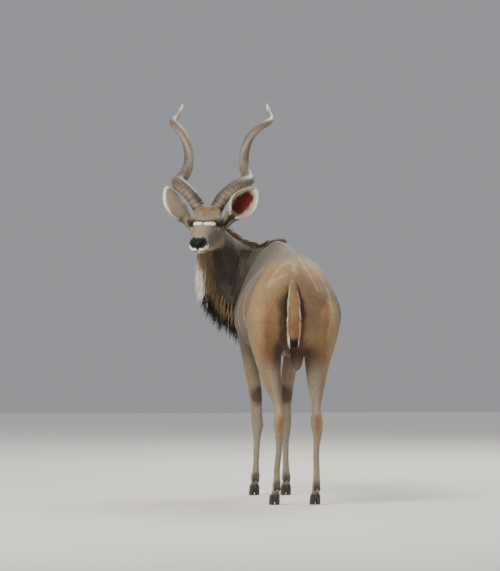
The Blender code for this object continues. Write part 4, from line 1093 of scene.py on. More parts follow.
def markings(points, normals):
    """Colour of the coat at each point, with the way that the skin faces there."""
    tint = bpy.context.scene.kudu_coat
    ragged = points + np.stack([ripple(points, 0.05, seed) for seed in (1, 2, 3)], axis=1) * 0.006
    x, y, z = ragged[:, 0], ragged[:, 1], ragged[:, 2]
    back = -normals[:, 1]
    colours = np.tile(np.array(tuple(tint.grey)[:3]), (len(points), 1))
    paint = brush(colours)
    # trunk: grey withers, tan rump and flank, and dark below, partly the belly's own colour and partly
    # painted shade
    trunk = 1 - above(y, 0.28, 0.30)
    paint(trunk * below(y, 0.20, 0.75), tint.tan, 0.70)
    paint(below(y, -0.48, 0.22) * above(z, 0.70, 0.2), tint.tan, 0.85)
    paint(trunk * above(z, 1.27, 0.06) * above(y, -0.62, 0.10), tint.grey, 0.80)
    sheath = near_place(ragged, (-0.006, -0.180, 0.800), (0.05, 0.13, 0.05))
    paint(sheath, tint.brown, 0.80)
    # dark brown under the belly: its own colour and painted shade under the body
    under = 1 - above(z, 0.80, 0.09)
    paint(under * trunk * (1 - above(np.abs(x), 0.10, 0.08)), tint.liver, 0.45)
    behind = below(y, -0.50, 0.15)
    rear = above(back, 0.45, 0.35) * behind
    paint(rear * above(z, 0.86, 0.16) * bell(x, 0.020, 0.12), tint.brown, 0.75)
    paint(rear * above(z, 0.86, 0.16) * bell(x, -0.12, 0.045), tint.brown, 0.65)
    # painted highlight: gold rim light along the sides and the top of the rump
    edge = behind * above(z, 0.93, 0.15)
    paint(edge * bell(x, -0.225, 0.040), tint.gold, 0.80)
    paint(edge * bell(x, 0.165, 0.035), tint.gold, 0.65)
    top_edge_highlight = behind * above(z, 1.17, 0.06) * ease((np.abs(x + 0.03) - 0.03) / 0.05)
    paint(top_edge_highlight, tint.gold, 0.45)
    # rust down the back of the thighs, with painted highlight in gold along their outer edges
    thigh = behind * below(z, 1.13, 0.12) * above(z, 0.52, 0.16)
    paint(thigh * bell(x, -0.180, 0.034), tint.rust, 0.72)
    paint(thigh * bell(x, -0.235, 0.030), tint.gold, 0.80)
    paint(thigh * bell(x, 0.170, 0.030), tint.gold, 0.70)
    paint(thigh * bell(x, 0.130, 0.022), tint.rust, 0.45)
    # painted shade on both sides of the tail, dark skin with painted shade between the thighs, and the
    # scrotum's own colour
    seen = ragged * np.array((1.0, 0.0, 1.0))
    # painted shade: the shadow to the left of the tail
    cleft = near_line(seen, [(-0.104, 0, 1.12), (-0.100, 0, 0.98), (-0.096, 0, 0.80)], 0.012, 0.030)
    paint(cleft * behind * below(z, 1.15, 0.08), tint.dark, 0.72)
    # painted shade: the narrow shadow to the right of the tail
    cleft = near_line(seen, [(-0.006, 0, 1.08), (0.000, 0, 0.93), (-0.020, 0, 0.84)], 0.004, 0.022)
    paint(cleft * behind, tint.dark, 0.62)
    # between the thighs: dark skin and painted shade
    between_thighs = near_place(ragged, (-0.055, -0.66, 0.815), (0.082, 0.24, 0.120))
    paint(between_thighs, tint.liver, 0.90)
    scrotum = near_place(ragged, (-0.013, -0.610, 0.800), (0.060, 0.070, 0.11))
    paint(scrotum, tint.rust, 0.16)
    # pale arcs on the rump: partly stripes, partly painted highlight on its muscles
    for line in RUMP_LINES:
        pale = near_line(seen, [(px, 0, pz) for px, pz in line], 0.0030, 0.0070)
        paint(pale * behind, tint.cream, 0.25)
    # legs
    leg = 1 - above(z, 0.66, 0.14)
    paint(leg, tint.pale, 0.85)
    # painted shade on the upper backs of the forelegs, seen between the hind legs
    paint(leg * above(z, 0.50, 0.2) * ease(y / 0.1) * back, tint.brown, 0.60)
    inner_thigh = leg * above(z, 0.50, 0.15) * below(y, -0.30, 0.1) * bell(x, -0.085, 0.035)
    paint(inner_thigh, tint.brown, 0.70)
    for name, (stations, side, lean) in FEET.items():
        axis = [tuple(leg_centre(side, lean, row)) for row in stations]
        lateral = points[:, 0] - along_rows(points[:, 2], axis[::-1], 2, 0)
        close = line_distance(points, axis[2:]) < 0.085
        outer = ease((lateral * side - 0.006) / 0.020) * close * leg * above(z, 0.40, 0.12)
        paint(outer, tint.tan, 0.75)
        if stations is HIND_LEG:
            hock = leg_centre(side, lean, stations[8])
            outside = hock + Vector((side * 0.008, -0.030, -0.020))
            paint(near_place(ragged, outside, (0.030, 0.060, 0.085)), tint.gold, 0.65)
            heel = hock + Vector((-side * 0.002, -0.048, -0.020))
            paint(near_place(ragged, heel, (0.012, 0.030, 0.060)), tint.rust, 0.50)
        else:
            knee = leg_centre(side, lean, stations[6])
            garter = near_place(ragged, knee + Vector((-side * 0.004, -0.030, 0.062)), (0.045, 0.060, 0.050))
            paint(garter, tint.liver, 0.80)
        foot = leg_centre(side, lean, stations[13])
        pastern = foot + Vector((0, -0.036, -0.010))
        paint(near_place(ragged, pastern, (0.032, 0.024, 0.034)), tint.dark, 0.75)
        white = near_place(ragged, foot + Vector((0, 0.030, 0.015)), (0.024, 0.024, 0.030))
        paint(white, tint.white, 0.55)
        paint(close * (1 - above(z, 0.052, 0.018)), tint.dark, 0.70)
    # thin pale stripes down the sides
    side_face = ease((np.abs(normals[:, 0]) - 0.20) / 0.3) * above(z, 0.86, 0.10)
    for number, start in enumerate(STRIPES):
        bend = start - 0.10 * (1.33 - z) + 0.35 * (1.33 - z) ** 2 * (1 if start < -0.3 else 0.25)
        line = np.exp(-((y - bend) / 0.0062) ** 4)
        fade = side_face * (0.75 + 0.25 * ripple(points, 0.10, 20 + number))
        paint(line * fade, tint.white, 0.26)
    # spine
    spine_x = along_rows(y, TRUNK, 0, 5)
    spine = bell(x, spine_x, 0.016) * above(z, 1.10, 0.05) * below(y, 0.5, 0.1)
    paint(spine, tint.brown, 0.75)
    paint(spine * bell(y, -0.68, 0.05), tint.cream, 0.40)
    # neck
    shoulder = above(y, -0.10, 0.16) * above(z, 0.86, 0.12) * above(np.abs(x), 0.06, 0.08)
    paint(shoulder * below(y, 0.55, 0.1), tint.neck, 0.70)
    neck_axis = [tuple(f[0]) for f in neck_frames(2)]
    on_neck = near_line(points, neck_axis[3:], 0.15, 0.10) * (z > 0.85) * above(y, 0.10, 0.2)
    on_neck *= ease(((points[:, 0] + 0.15) * -1) / 0.10)
    paint(on_neck, tint.neck, 0.85)
    throat = [tuple(p) for p, _ in throat_line(0.17, 0.97, 12)]
    paint(near_line(ragged, throat, 0.018, 0.022), tint.tan, 0.70)
    fold_shade = np.max([near_line(points, fold, 0.002, 0.007) for fold in FOLDS], axis=0)
    paint(fold_shade, tint.dark, 0.85)
    cheek_shade = near_line(ragged, [(-0.306, 0.411, 1.435), (-0.332, 0.423, 1.370), (-0.330, 0.514, 1.293),
                                     (-0.308, 0.563, 1.184)], 0.010, 0.030)
    paint(cheek_shade, tint.dark, 0.40)
    # painted highlight along the edge of the neck
    neck_edge_highlight = near_line(ragged, [(-0.251, 0.655, 1.428), (-0.224, 0.596, 1.363), (-0.194, 0.564, 1.293),
                                   (-0.202, 0.529, 1.212)], 0.004, 0.014)
    paint(neck_edge_highlight, tint.pale, 0.30)
    head_markings(points, ragged, paint)
    ear_markings(points, normals, paint)
    return colours


def face_mark(here, side, places, size):
    """Where a mark lies on one side of the face: along a line, or round one place."""
    if not isinstance(places, list):
        return near_place(here, (side * places[0], *places[1:]), size)
    line = [on_face(side * p[0], p[1]) if len(p) == 2 else (side * p[0], *p[1:]) for p in places]
    return near_line(here, line, *size)


def head_markings(points, ragged, paint):
    """The head's own markings laid over the rest."""
    tint = bpy.context.scene.kudu_coat
    here = head_places(points)
    soft = head_places(ragged)
    across, forward, up = soft.T
    jaw = along_rows(forward, HEAD, 0, 2)
    head = above(forward, -0.06, 0.08) * below(np.abs(across), 0.15, 0.03) * (up < 0.12)
    head *= ease((up - jaw + 0.020) / 0.035) * (forward < 0.5)
    paint(head, tint.face, 0.95)
    forehead = head * below(forward, 0.155, 0.05) * ease(up / 0.03)
    paint(forehead * (0.75 + 0.5 * ripple(points, 0.02, 41)), tint.gold, 0.45)
    paint(forehead * bell(across, 0.0, 0.012), tint.rust, 0.40)
    wing = near_line(here, [(0.0, 0.115, 0.040), (0.040, 0.030, 0.062)], 0.004, 0.016)
    wing = np.maximum(wing, near_line(here, [(0.0, 0.115, 0.040), (-0.040, 0.030, 0.062)], 0.004, 0.016))
    paint(wing, tint.brown, 0.60)
    paint(head * below(up, -0.085, 0.04) * below(forward, 0.34, 0.05), tint.cream, 0.45)
    nose_line = near_line(soft, [(0.0, 0.235, 0.02), (0.0, 0.345, 0.0)], 0.012, 0.030)
    paint(nose_line * head, tint.tan, 0.45)
    for side in (-1, 1):
        for places, size, colour, strength in FACE_MARKS:
            paint(face_mark(here, side, places, size), getattr(tint, colour), strength)
    pad = near_line(here, [(0.0, 0.388, -0.010), (0.0, 0.405, -0.036)], 0.0200, 0.0040)
    pad = np.maximum(pad, near_line(here, [(0.0, 0.408, -0.040), (0.0, 0.406, -0.060)], 0.0070, 0.0040))
    paint(pad, tint.black, 1.0)
    shine = near_line(here, [(0.0, 0.388, -0.004), (0.0, 0.410, -0.034)], 0.0040, 0.0060)
    paint(shine, tint.neck, 0.40)


def ear_markings(points, normals, paint):
    """Grey-tan backs, pale rims and dark red-brown cups of the ears, the cups partly painted shade."""
    tint = bpy.context.scene.kudu_coat
    for side in (-1, 1):
        base, along, opens, sideways = ear_frame(side)
        away = points - np.array(base)
        place = away @ np.array(along) / EAR_LENGTH
        wide = away @ np.array(sideways) / EAR_HALF_WIDTH
        deep = away @ np.array(opens) / EAR_HALF_WIDTH
        half = along_rows(place, EAR_OUTLINE[1:], 0, 1)
        ear = (place > 0.12) & (place < 1.1) & (np.abs(wide) < half * 1.5 + 0.1)
        ear = (ear & (deep > -1.2) & (deep < 2.2)) * above(place, 0.10, 0.10)
        cup = ease((normals @ np.array(opens) + 0.05) / 0.25)
        paint(ear, tint.face, 0.95)
        reach = np.radians(along_rows(place, EAR_CLOSING[1:], 0, 1))
        round_cup = np.minimum(reach, math.pi / 2)
        radius = half / np.sin(round_cup)
        middle = radius * (0.65 + 0.35 * np.cos(round_cup)) - 0.010 / EAR_HALF_WIDTH * place
        share = np.abs(np.arctan2(wide, middle - deep)) / reach
        rim = above(share, 0.88, 0.08) * above(place, 0.2, 0.2)
        # the cup's red-brown: its own colour with painted shade deep inside the cup
        red = ear * cup * above(place, 0.16, 0.1) * (1 - above(place, 0.80, 0.12))
        red *= 1 - above(share, 0.50, 0.22)
        paint(ear * cup, tint.cream, 0.80)
        paint(red, tint.ear, 1.0)
        paint(ear * np.clip(rim + above(place, 0.93, 0.05), 0, 1), tint.white, 0.85)


# Tufts and locks

def strands(name, roots, ways, flats, lengths, widths, bends, colours, tips, patches, rows=2, sides=3,
            shape=((0.0, 0.75), (0.45, 1.0), (0.80, 0.55)), flatness=0.30):
    """Closed, flat, tapered strands that bend along their lie, joined in one mesh."""
    count = len(roots)
    flats = flats - ways * np.sum(flats * ways, axis=1)[:, None]
    flats = unit(flats)
    thick = np.cross(ways, flats)
    places = np.array([0.0, 0.45]) if rows == 2 else np.arange(rows) / rows
    turns = {3: [(1, 0), (0, 1), (-1, 0)], 4: [(1, 0), (0, 1), (-1, 0), (0, -1)]}[sides]
    points = np.zeros((count, rows * sides + 1, 3))
    tone = np.zeros((count, rows * sides + 1, 3), dtype=np.float32)
    for row, place in enumerate(places):
        share = np.interp(place, [s[0] for s in shape] + [1.0], [s[1] for s in shape] + [0.06])
        centre = roots + ways * (lengths * place)[:, None] + bends * (lengths * place * place)[:, None]
        for corner, (along, over) in enumerate(turns):
            index = row * sides + corner
            points[:, index] = (centre + flats * (widths * share * 0.5 * along)[:, None]
                                + thick * (widths * share * flatness * over)[:, None])
            tone[:, index] = colours * (1 - place) + tips * place
    points[:, -1] = roots + ways * lengths[:, None] + bends * lengths[:, None]
    tone[:, -1] = tips
    faces = [tuple(reversed(range(sides)))]
    for row in range(rows - 1):
        for corner in range(sides):
            after = (corner + 1) % sides
            low, high = row * sides, (row + 1) * sides
            faces.append((low + corner, low + after, high + after, high + corner))
    last = (rows - 1) * sides
    faces += [(last + corner, last + (corner + 1) % sides, rows * sides) for corner in range(sides)]
    flat = [corner for face in faces for corner in face]
    starts = np.cumsum([0] + [len(face) for face in faces])[:-1]
    per = rows * sides + 1
    offsets = np.arange(count) * per
    loops = (np.array(flat)[None, :] + offsets[:, None]).ravel()
    loop_starts = (starts[None, :] + (np.arange(count) * len(flat))[:, None]).ravel()
    mesh = bpy.data.meshes.new(name)
    mesh.vertices.add(count * per)
    mesh.vertices.foreach_set("co", points.ravel())
    mesh.loops.add(len(loops))
    mesh.loops.foreach_set("vertex_index", loops.astype(np.int32))
    mesh.polygons.add(len(loop_starts))
    mesh.polygons.foreach_set("loop_start", loop_starts.astype(np.int32))
    mesh.update(calc_edges=True)
    obj = bpy.data.objects.new(name, mesh)
    bpy.context.scene.collection.objects.link(obj)
    store(obj, "coat", tone.reshape(-1, 3))
    local = np.zeros((per, 2))
    for row, place in enumerate(places):
        for corner in range(sides):
            local[row * sides + corner] = (place - 0.5, corner / sides - 0.5)
    local[-1] = (0.5, 0.0)
    spread = patches[:, None, :] + local[None, :, :] * 0.003
    mesh.shade_flat()
    layer = mesh.uv_layers.new(name="OFBake")
    layer.data.foreach_set("uv", spread.reshape(-1, 2)[loops].ravel())
    return obj


class Ground:
    """The skin as a ground to plant on: its triangles with places, directions, colours and patches."""

    def __init__(self, skin):
        mesh = skin.data
        mesh.calc_loop_triangles()
        self.corners = read_table(mesh.loop_triangles, "vertices", 3)
        self.loops = read_table(mesh.loop_triangles, "loops", 3)
        self.points = read_points(mesh)
        self.normals = read_normals(mesh)
        self.tone = read_table(mesh.attributes["coat"].data, "color", 4, np.float32)[:, :3]
        self.patches = np.zeros((len(mesh.loops), 2))
        if "OFBake" in mesh.uv_layers:
            self.patches = read_table(mesh.uv_layers["OFBake"].data, "uv", 2, np.float32)
        a, b, c = (self.points[self.corners[:, i]] for i in range(3))
        self.area = np.linalg.norm(np.cross(b - a, c - a), axis=1) / 2
        self.middle = (a + b + c) / 3

    def plant(self, count, weight, seed):
        """Random roots, thicker where the weight is larger."""
        chance = np.random.default_rng(seed)
        odds = self.area * weight
        picked = chance.choice(len(odds), size=count, p=odds / odds.sum())
        shares = chance.dirichlet((1.0, 1.0, 1.0), size=count)
        corners, loops = self.corners[picked], self.loops[picked]
        blend = lambda values, index: np.einsum("ij,ijk->ik", shares, values[index])
        normals = unit(blend(self.normals, corners))
        return blend(self.points, corners), normals, blend(self.tone, corners), blend(self.patches, loops)

    def nearest(self, places):
        """Patches of the skin points nearest to the places."""
        tree = KDTree(len(self.middle))
        for index, point in enumerate(self.middle):
            tree.insert(point, index)
        tree.balance()
        found = [tree.find(Vector(place))[1] for place in places]
        return self.patches[self.loops[found, 0]]


def short_coat(name, ground, count, weight, seed, width):
    """Short tufts that lie along the body."""
    chance = np.random.default_rng(seed)
    roots, normals, tone, patches = ground.plant(count, weight, seed)
    ways = lie_of(roots) + chance.normal(scale=0.16, size=(count, 3))
    ways -= normals * np.sum(ways * normals, axis=1)[:, None]
    ways = unit(ways)
    rise = chance.uniform(0.6, 1.4, count) * COAT_LIFT
    ways = ways * np.cos(rise)[:, None] + normals * np.sin(rise)[:, None]
    flats = np.cross(normals, ways)
    size = chance.uniform(0.7, 1.25, count) * coat_length(roots)
    shade = chance.normal(1.03, 0.07, count)[:, None]
    colours = np.clip(tone * shade, 0, 1)
    tips = np.clip(colours * chance.normal(1.08, 0.10, count)[:, None], 0, 1)
    return strands(name, roots - normals * 0.0004, ways, flats, size,
                   width * chance.uniform(0.7, 1.3, count) * (0.4 + 0.6 * size / size.max()),
                   -normals * 0.03, colours, tips, patches, flatness=0.20)


def coat_length(points):
    """How long the short coat is: least on face and feet."""
    across, forward, up = head_places(points).T
    wide = np.abs(across)
    face = above(forward, -0.02, 0.15) * (up > -0.25) * (wide < 0.15)
    legs = 1 - above(points[:, 2], 0.45, 0.35)
    ears = (forward > -0.15) & (up > -0.12) & (wide > 0.10) & (wide < 0.34)
    return 0.019 * (1 - 0.55 * face) * (1 - 0.45 * legs) * (1 - 0.45 * ears * (points[:, 2] > 1.36))


def long_locks(name, ground, locks, rows, sides=4,
               shape=((0.0, 0.70), (0.30, 1.0), (0.62, 0.80), (0.86, 0.42)), flatness=0.16):
    """Long flat locks: each a root, way, width's way, length, width, droop, colour and colour of its tip."""
    roots, ways, wides, *rest = (np.array(column, float) for column in zip(*locks))
    ways /= np.linalg.norm(ways, axis=1)[:, None]
    return strands(name, roots, ways, wides, *rest, ground.nearest(roots), rows, sides, shape, flatness)


def mixed(one, other, share):
    """A colour between two."""
    return np.array(tuple(one)[:3]) * (1 - share) + np.array(tuple(other)[:3]) * share


def mixer(chance):
    """The means to draw a colour between two, with its share of the second between two numbers."""
    def draw(one, other, low=0.0, high=1.0):
        return mixed(one, other, chance.uniform(low, high))
    return draw


def throat_mane(ground):
    """The long hair from the chin down the throat to the chest."""
    tint = bpy.context.scene.kudu_coat
    chance = random.Random(31)
    places = throat_line(0.15, 0.99, 160)
    locks, draw = [], mixer(chance)
    for _ in range(bpy.context.scene.kudu_manes.throat_locks):
        share = chance.random()
        place, frame = places[int(share * 159)]
        upper = max(0.0, min(1.0, (share - 0.46) / 0.14))
        middle = 0.016 * upper * math.copysign(1.0, frame[3].y)
        across = max(-0.042, min(0.042, chance.gauss(middle, 0.020 - 0.005 * upper)))
        toward = across * -frame[3].y
        if toward > 0.004 and chance.random() < upper * 0.80:
            continue
        root = place + frame[3] * across + frame[2] * (0.006 + 6 * across * across)
        root = root + frame[1] * chance.uniform(-0.004, 0.004)
        way = (-frame[2] * (0.85 + 0.10 * upper) - frame[1] * (0.22 + 0.10 * upper + chance.gauss(0, 0.12))
               + frame[3] * (across * 9 + chance.gauss(0, 0.10))
               + Vector((0, 0, -0.50 + 0.22 * upper + chance.gauss(0, 0.08))))
        length = between(THROAT_LENGTHS, share)
        length *= chance.uniform(0.55, 1.08) * (1 - 4 * abs(across - middle))
        width = chance.uniform(0.003, 0.0065)
        if share > 0.74:
            colour = draw(tint.brown, tint.tan)
            tip = draw(tint.tan, tint.cream, 0, 0.8)
        elif share > 0.50 and toward > -0.008 + chance.gauss(0, 0.003):
            colour = draw(tint.tan, tint.brown)
            tip = draw(tint.tan, tint.cream, 0, 0.6)
            length *= 0.8
        elif share > 0.50:
            colour = draw(tint.cream, tint.white, 0, 0.8)
            tip = draw(tint.white, tint.cream, 0, 0.4)
        elif toward > 0.010 + 0.012 * chance.random():
            colour = draw(tint.tan, tint.cream, 0.2, 0.7)
            tip = draw(tint.tan, tint.brown, 0, 0.8)
            length *= 0.72
            width *= 0.55
        else:
            colour = draw(tint.liver, tint.dark, 0.2, 0.8)
            tip = draw(tint.dark, tint.black, 0, 0.9)
        wide = frame[1] + frame[3] * chance.gauss(0, 0.6)
        droop = Vector((chance.gauss(0, 0.05), chance.gauss(0, 0.05), -0.36))
        droop = droop + frame[1] * chance.gauss(0, 0.08)
        locks.append((root, way, wide, length, width, droop, colour, tip))
    return long_locks("throat_mane", ground, locks, 5)


def nape_mane(ground):
    """The short upright hair along the nape and over the withers."""
    tint = bpy.context.scene.kudu_coat
    chance = random.Random(32)
    frames = neck_frames(10)
    locks, draw = [], mixer(chance)
    for _ in range(bpy.context.scene.kudu_manes.nape_locks):
        share = chance.uniform(0.12, 0.97)
        centre, onward, nape, side, depth, _ = frames[int(round(share * (len(frames) - 1)))]
        across = chance.gauss(0, 0.010)
        root = centre + nape * (depth - 0.004) + side * across + onward * chance.uniform(-0.006, 0.006)
        way = nape * 0.8 - onward * (0.65 + chance.gauss(0, 0.12))
        way = way + side * (across * 16 + chance.gauss(0, 0.06))
        length = 0.062 * chance.uniform(0.6, 1.12)
        colour = draw(tint.brown, tint.rust, 0, 0.6)
        tip = draw(tint.brown, tint.dark)
        if chance.random() < 0.18:
            tip = draw(tint.cream, tint.tan)
        wide = onward + side * chance.gauss(0, 0.4)
        locks.append((root, way, wide, length, chance.uniform(*LOCK_WIDTHS), -onward * 0.25, colour, tip))
    for _ in range(bpy.context.scene.kudu_manes.spine_locks):
        y = chance.uniform(-0.74, 0.52)
        top, shift = (float(along_rows(y, TRUNK, 0, i)) for i in (1, 5))
        withers = max(0.0, min(1.0, (y - 0.16) / 0.12))
        if chance.random() > 0.45 + 0.55 * withers:
            continue
        root = Vector((shift + chance.gauss(0, 0.006 + 0.004 * withers), y, top - 0.008))
        slope = (float(along_rows(y - 0.04, TRUNK, 0, 1)) - top) / 0.04
        way = Vector((chance.gauss(0, 0.10), -1.0, slope + 0.06 + 0.10 * withers + chance.gauss(0, 0.05)))
        length = (0.024 + 0.018 * withers) * chance.uniform(0.6, 1.12)
        colour = draw(tint.brown, tint.dark, 0, 0.5)
        tip = draw(tint.brown, tint.pale, 0, 0.8)
        if y < -0.60 or chance.random() < 0.12:
            colour = draw(tint.tan, tint.brown)
            tip = draw(tint.cream, tint.tan)
        wide, droop = Vector((1, 0.3, 0)), Vector((0, -0.10, -0.10))
        locks.append((root, way, wide, length, chance.uniform(*LOCK_WIDTHS), droop, colour, tip))
    return long_locks("nape_mane", ground, locks, 4)


def tail_hair(ground):
    """The tail's rusty hair with its white fringe and black end."""
    tint = bpy.context.scene.kudu_coat
    chance = random.Random(33)
    locks, draw = [], mixer(chance)
    for _ in range(bpy.context.scene.kudu_manes.tail_locks):
        z = 1.190 - 0.290 * chance.random() ** 0.9
        y, half, deep = (float(along_rows(z, TAIL[::-1], 1, i)) for i in (0, 2, 3))
        half = max(0.004, half - 0.006)
        turn = chance.uniform(-1.0, 1.0)
        root = Vector((TAIL_SIDE + turn * half, y - deep * math.sqrt(1 - turn * turn), z))
        spread = turn * (0.40 if z < 1.14 else 0.2)
        way = Vector((spread + chance.gauss(0, 0.04), -0.10 * (1 - abs(turn)) + chance.gauss(0, 0.03), -0.92))
        length = (0.052 + 0.024 * min(1.0, (1.175 - z) / 0.15)) * chance.uniform(0.7, 1.1)
        if z < 0.950:
            length *= 0.95
            black = abs(turn) < 0.78
            colour = mixed(tint.black, tint.dark, 0.3) if black else mixed(tint.white, tint.cream, 0.2)
            tip = mixed(tint.black, tint.dark, 0.1) if black else mixed(tint.white, tint.cream, 0.1)
        elif abs(turn) > 0.84 + chance.gauss(0, 0.06):
            colour = draw(tint.cream, tint.gold)
            tip = draw(tint.white, tint.gold)
        else:
            colour = draw(tint.rust, tint.tan, 0.3, 1)
            tip = draw(tint.rust, tint.gold)
        droop = Vector((-spread * 0.42, 0.02, -0.04))
        wide = Vector((1, chance.gauss(0, 0.3), 0))
        locks.append((root, way, wide, length, chance.uniform(*LOCK_WIDTHS), droop, colour, tip))
    return long_locks("tail_hair", ground, locks, 4)


def ear_hair(ground):
    """Pale hair along the rims and in the cups of the ears."""
    tint = bpy.context.scene.kudu_coat
    chance = random.Random(34)
    outline, closing = smooth_curve(EAR_OUTLINE[1:]), smooth_curve(EAR_CLOSING[1:])
    locks, draw = [], mixer(chance)
    for side in (-1, 1):
        frame = ear_frame(side)
        _, along, opens, sideways = frame
        for index in range(EAR_LOCKS):
            place = chance.uniform(0.08, 0.97)
            reach, radius, centre = ear_section(frame, place, outline, closing)
            rim = index % 3 != 0
            share = chance.choice((-1, 1)) * chance.uniform(*((0.93, 0.995) if rim else (0.55, 0.95)))
            angle = reach * share
            out = sideways * math.sin(angle) - opens * math.cos(angle)
            turn = (sideways * math.cos(angle) + opens * math.sin(angle)) * (1 if share > 0 else -1)
            root = centre + out * (radius - (0.0005 if rim else 0.0022))
            if rim:
                way = along * 0.8 + turn * 0.35 - out * chance.uniform(-0.1, 0.25)
                length = chance.uniform(0.010, 0.018)
                colour = draw(tint.white, tint.cream, 0, 0.6)
            else:
                way = along * 0.8 - turn * 0.45 - out * chance.uniform(0.15, 0.40)
                length = chance.uniform(0.016, 0.034)
                colour = draw(tint.cream, tint.white, 0, 0.5)
            width = chance.uniform(0.0014, 0.0024)
            locks.append((root, way, turn, length, width, -out * 0.10, colour, colour))
    return long_locks("ear_hair", ground, locks, 3)


# Horns, eyes and hooves

def horn_shape(name, side):
    """One horn with its keel and the ridges round its lower part."""
    horns = bpy.context.scene.kudu_horns
    rows, sides = 300, 28
    places = [0.016 + (HORN_STRAIGHT - 0.016) * (i / rows) for i in range(rows + 1)]
    rings = horn_rings(side, places, 0.0, sides)
    along, keel, furrow, lifted = [], [], [], []
    for index, (place, points) in enumerate(zip(places, rings)):
        centre = sum(points, Vector()) / sides
        share = place / HORN_STRAIGHT
        wave = math.sin(place * 2 * math.pi / horns.ridge_spacing + 0.9 * math.sin(place * 41))
        high = horns.ridge_height * max(0.0, wave) ** 1.5 * float(1 - above(share, 0.30, 0.35))
        low = max(0.0, -wave) * float(1 - above(share, 0.35, 0.35))
        for turn, point in enumerate(points):
            front = max(0.0, math.cos(2 * math.pi * turn / sides)) ** 6
            ridge = high * (0.35 + 0.65 * abs(math.cos(math.pi * turn / sides)))
            grain = 0.0005 * math.sin(turn * 5.0 + 6 * math.sin(place * 9)) * (1 - share)
            lifted.append(point + (point - centre).normalized() * (ridge + grain))
            along.append(share)
            keel.append(front)
            furrow.append(low)
    obj = loft(name, [lifted[i * sides:(i + 1) * sides] for i in range(rows + 1)])
    for title, values in (("along", along), ("keel", keel), ("furrow", furrow)):
        store(obj, title, values)
    return obj


def eye_shape(name, side):
    """One eyeball with its bulging front."""
    centre = in_head(EYE[0] * side, EYE[1], EYE[2])
    obj = ball(name, centre, (EYE_RADIUS,) * 3, 48, 32)
    look = (HEAD_RIGHT * side * 0.86 + FACE * 0.50).normalized()
    points = read_points(obj.data)
    ways = (points - np.array(centre)) / EYE_RADIUS
    facing = ways @ np.array(look)
    points += ways * (0.0010 * above(facing, 0.72, 0.16))[:, None]
    write_points(obj.data, points)
    store(obj, "facing", facing)
    return obj


def claw(name, sole, way):
    """One claw of a cloven hoof, its flat sole on the floor."""
    rings = []
    for step in range(13):
        rise = step / 12
        z = rise * (HOOF_TOP + 0.003)
        long = 1.0 - 0.26 * rise ** 1.1 + 0.02 * math.sin(rise * 9)
        wide = 1.0 - 0.13 * rise - 0.06 * (1 - rise) ** 6 - 0.10 * rise ** 12
        back = 0.015 * rise
        points = []
        for index in range(30):
            turn = 2 * math.pi * index / 30
            y = math.sin(turn) * HOOF_LENGTH / 2 * long
            taper = 1 - 0.42 * max(0.0, math.sin(turn)) ** 2
            x = math.cos(turn) * HOOF_WIDTH / 4 * wide * taper
            if x * way < 0:
                x *= 0.80
            ridge = 0.0004 * math.sin(rise * 40)
            middle = sole.x + way * (HOOF_WIDTH / 4 - 0.0008)
            points.append(Vector((middle + x * (1 + ridge * 20) + way * y * 0.07, sole.y + y - back, z)))
        rings.append(points)
    return loft(name, rings)


def hoof_shape(name, leg):
    """A cloven hoof: two claws joined under the coronet, with the small claws behind the fetlock."""
    stations, side, lean = FEET[leg]
    sole = leg_centre(side, lean, stations[-1])
    sole = Vector((sole.x, sole.y + 0.012, 0))
    pieces = [claw("claw_a", sole, 1), claw("claw_b", sole, -1)]
    bridge = [ring(sole + Vector((0, -0.022, z)), RIGHT, AHEAD,
                   HOOF_WIDTH * 0.38 * wide, HOOF_LENGTH * 0.24 * wide, 24)
              for z, wide in ((0.014, 0.7), (0.024, 0.95), (0.036, 1.0), (HOOF_TOP + 0.002, 1.0))]
    pieces.append(loft("bridge", bridge))
    row = stations[13]
    for way in (-1, 1):
        place = leg_centre(side, lean, row) + Vector((way * 0.0120, -row[4] - 0.0035, -0.018))
        pieces.append(ball("dewclaw", place, (0.0065, 0.0085, 0.0115), 16, 10))
    return join(name, pieces)


# Materials

class Value:
    """A shader socket that sums and products can be written with."""

    def __init__(self, tree, socket=None):
        self.tree, self.socket = tree, socket

    def node(self, kind, settings, inputs, output=0):
        """A node of this type with its settings, then the values or links of its sockets."""
        made = self.tree.nodes.new(kind)
        for key, value in settings.items():
            if key == "stops":
                while len(made.color_ramp.elements) < len(value):
                    made.color_ramp.elements.new(0.5)
                for element, (place, colour) in zip(made.color_ramp.elements, value):
                    element.position = place
                    element.color = (*tuple(colour)[:3], 1.0)
            else:
                setattr(made, key, value)
        for key, value in inputs.items():
            if isinstance(value, Value):
                self.tree.links.new(value.socket, made.inputs[key])
            else:
                made.inputs[key].default_value = value
        return Value(self.tree, made.outputs[output])

    def maths(self, operation, first, second):
        return self.node("ShaderNodeMath", {"operation": operation}, {0: first, 1: second})

    def __add__(self, other):
        return self.maths("ADD", self, other)

    def __radd__(self, other):
        return self.maths("ADD", other, self)

    def __sub__(self, other):
        return self.maths("SUBTRACT", self, other)

    def __rsub__(self, other):
        return self.maths("SUBTRACT", other, self)

    def __mul__(self, other):
        return self.maths("MULTIPLY", self, other)

    def __rmul__(self, other):
        return self.maths("MULTIPLY", other, self)

    def attribute(self, name, colour=False):
        """A value or colour kept on the mesh's points."""
        return self.node("ShaderNodeAttribute", {"attribute_name": name}, {}, "Color" if colour else "Fac")

    def grain(self, scale, stretch, detail=3.0):
        """Noise over the object's own places, stretched along an axis."""
        places = self.node("ShaderNodeTexCoord", {}, {}, "Object")
        moved = self.node("ShaderNodeMapping", {}, {"Vector": places, "Scale": stretch})
        return self.node("ShaderNodeTexNoise", {}, {"Vector": moved, "Scale": scale, "Detail": detail}, "Fac")

    def shade(self, colour, factor):
        """A colour made lighter or darker by a number round 1."""
        return self.node("ShaderNodeVectorMath", {"operation": "SCALE"}, {0: colour, "Scale": factor})


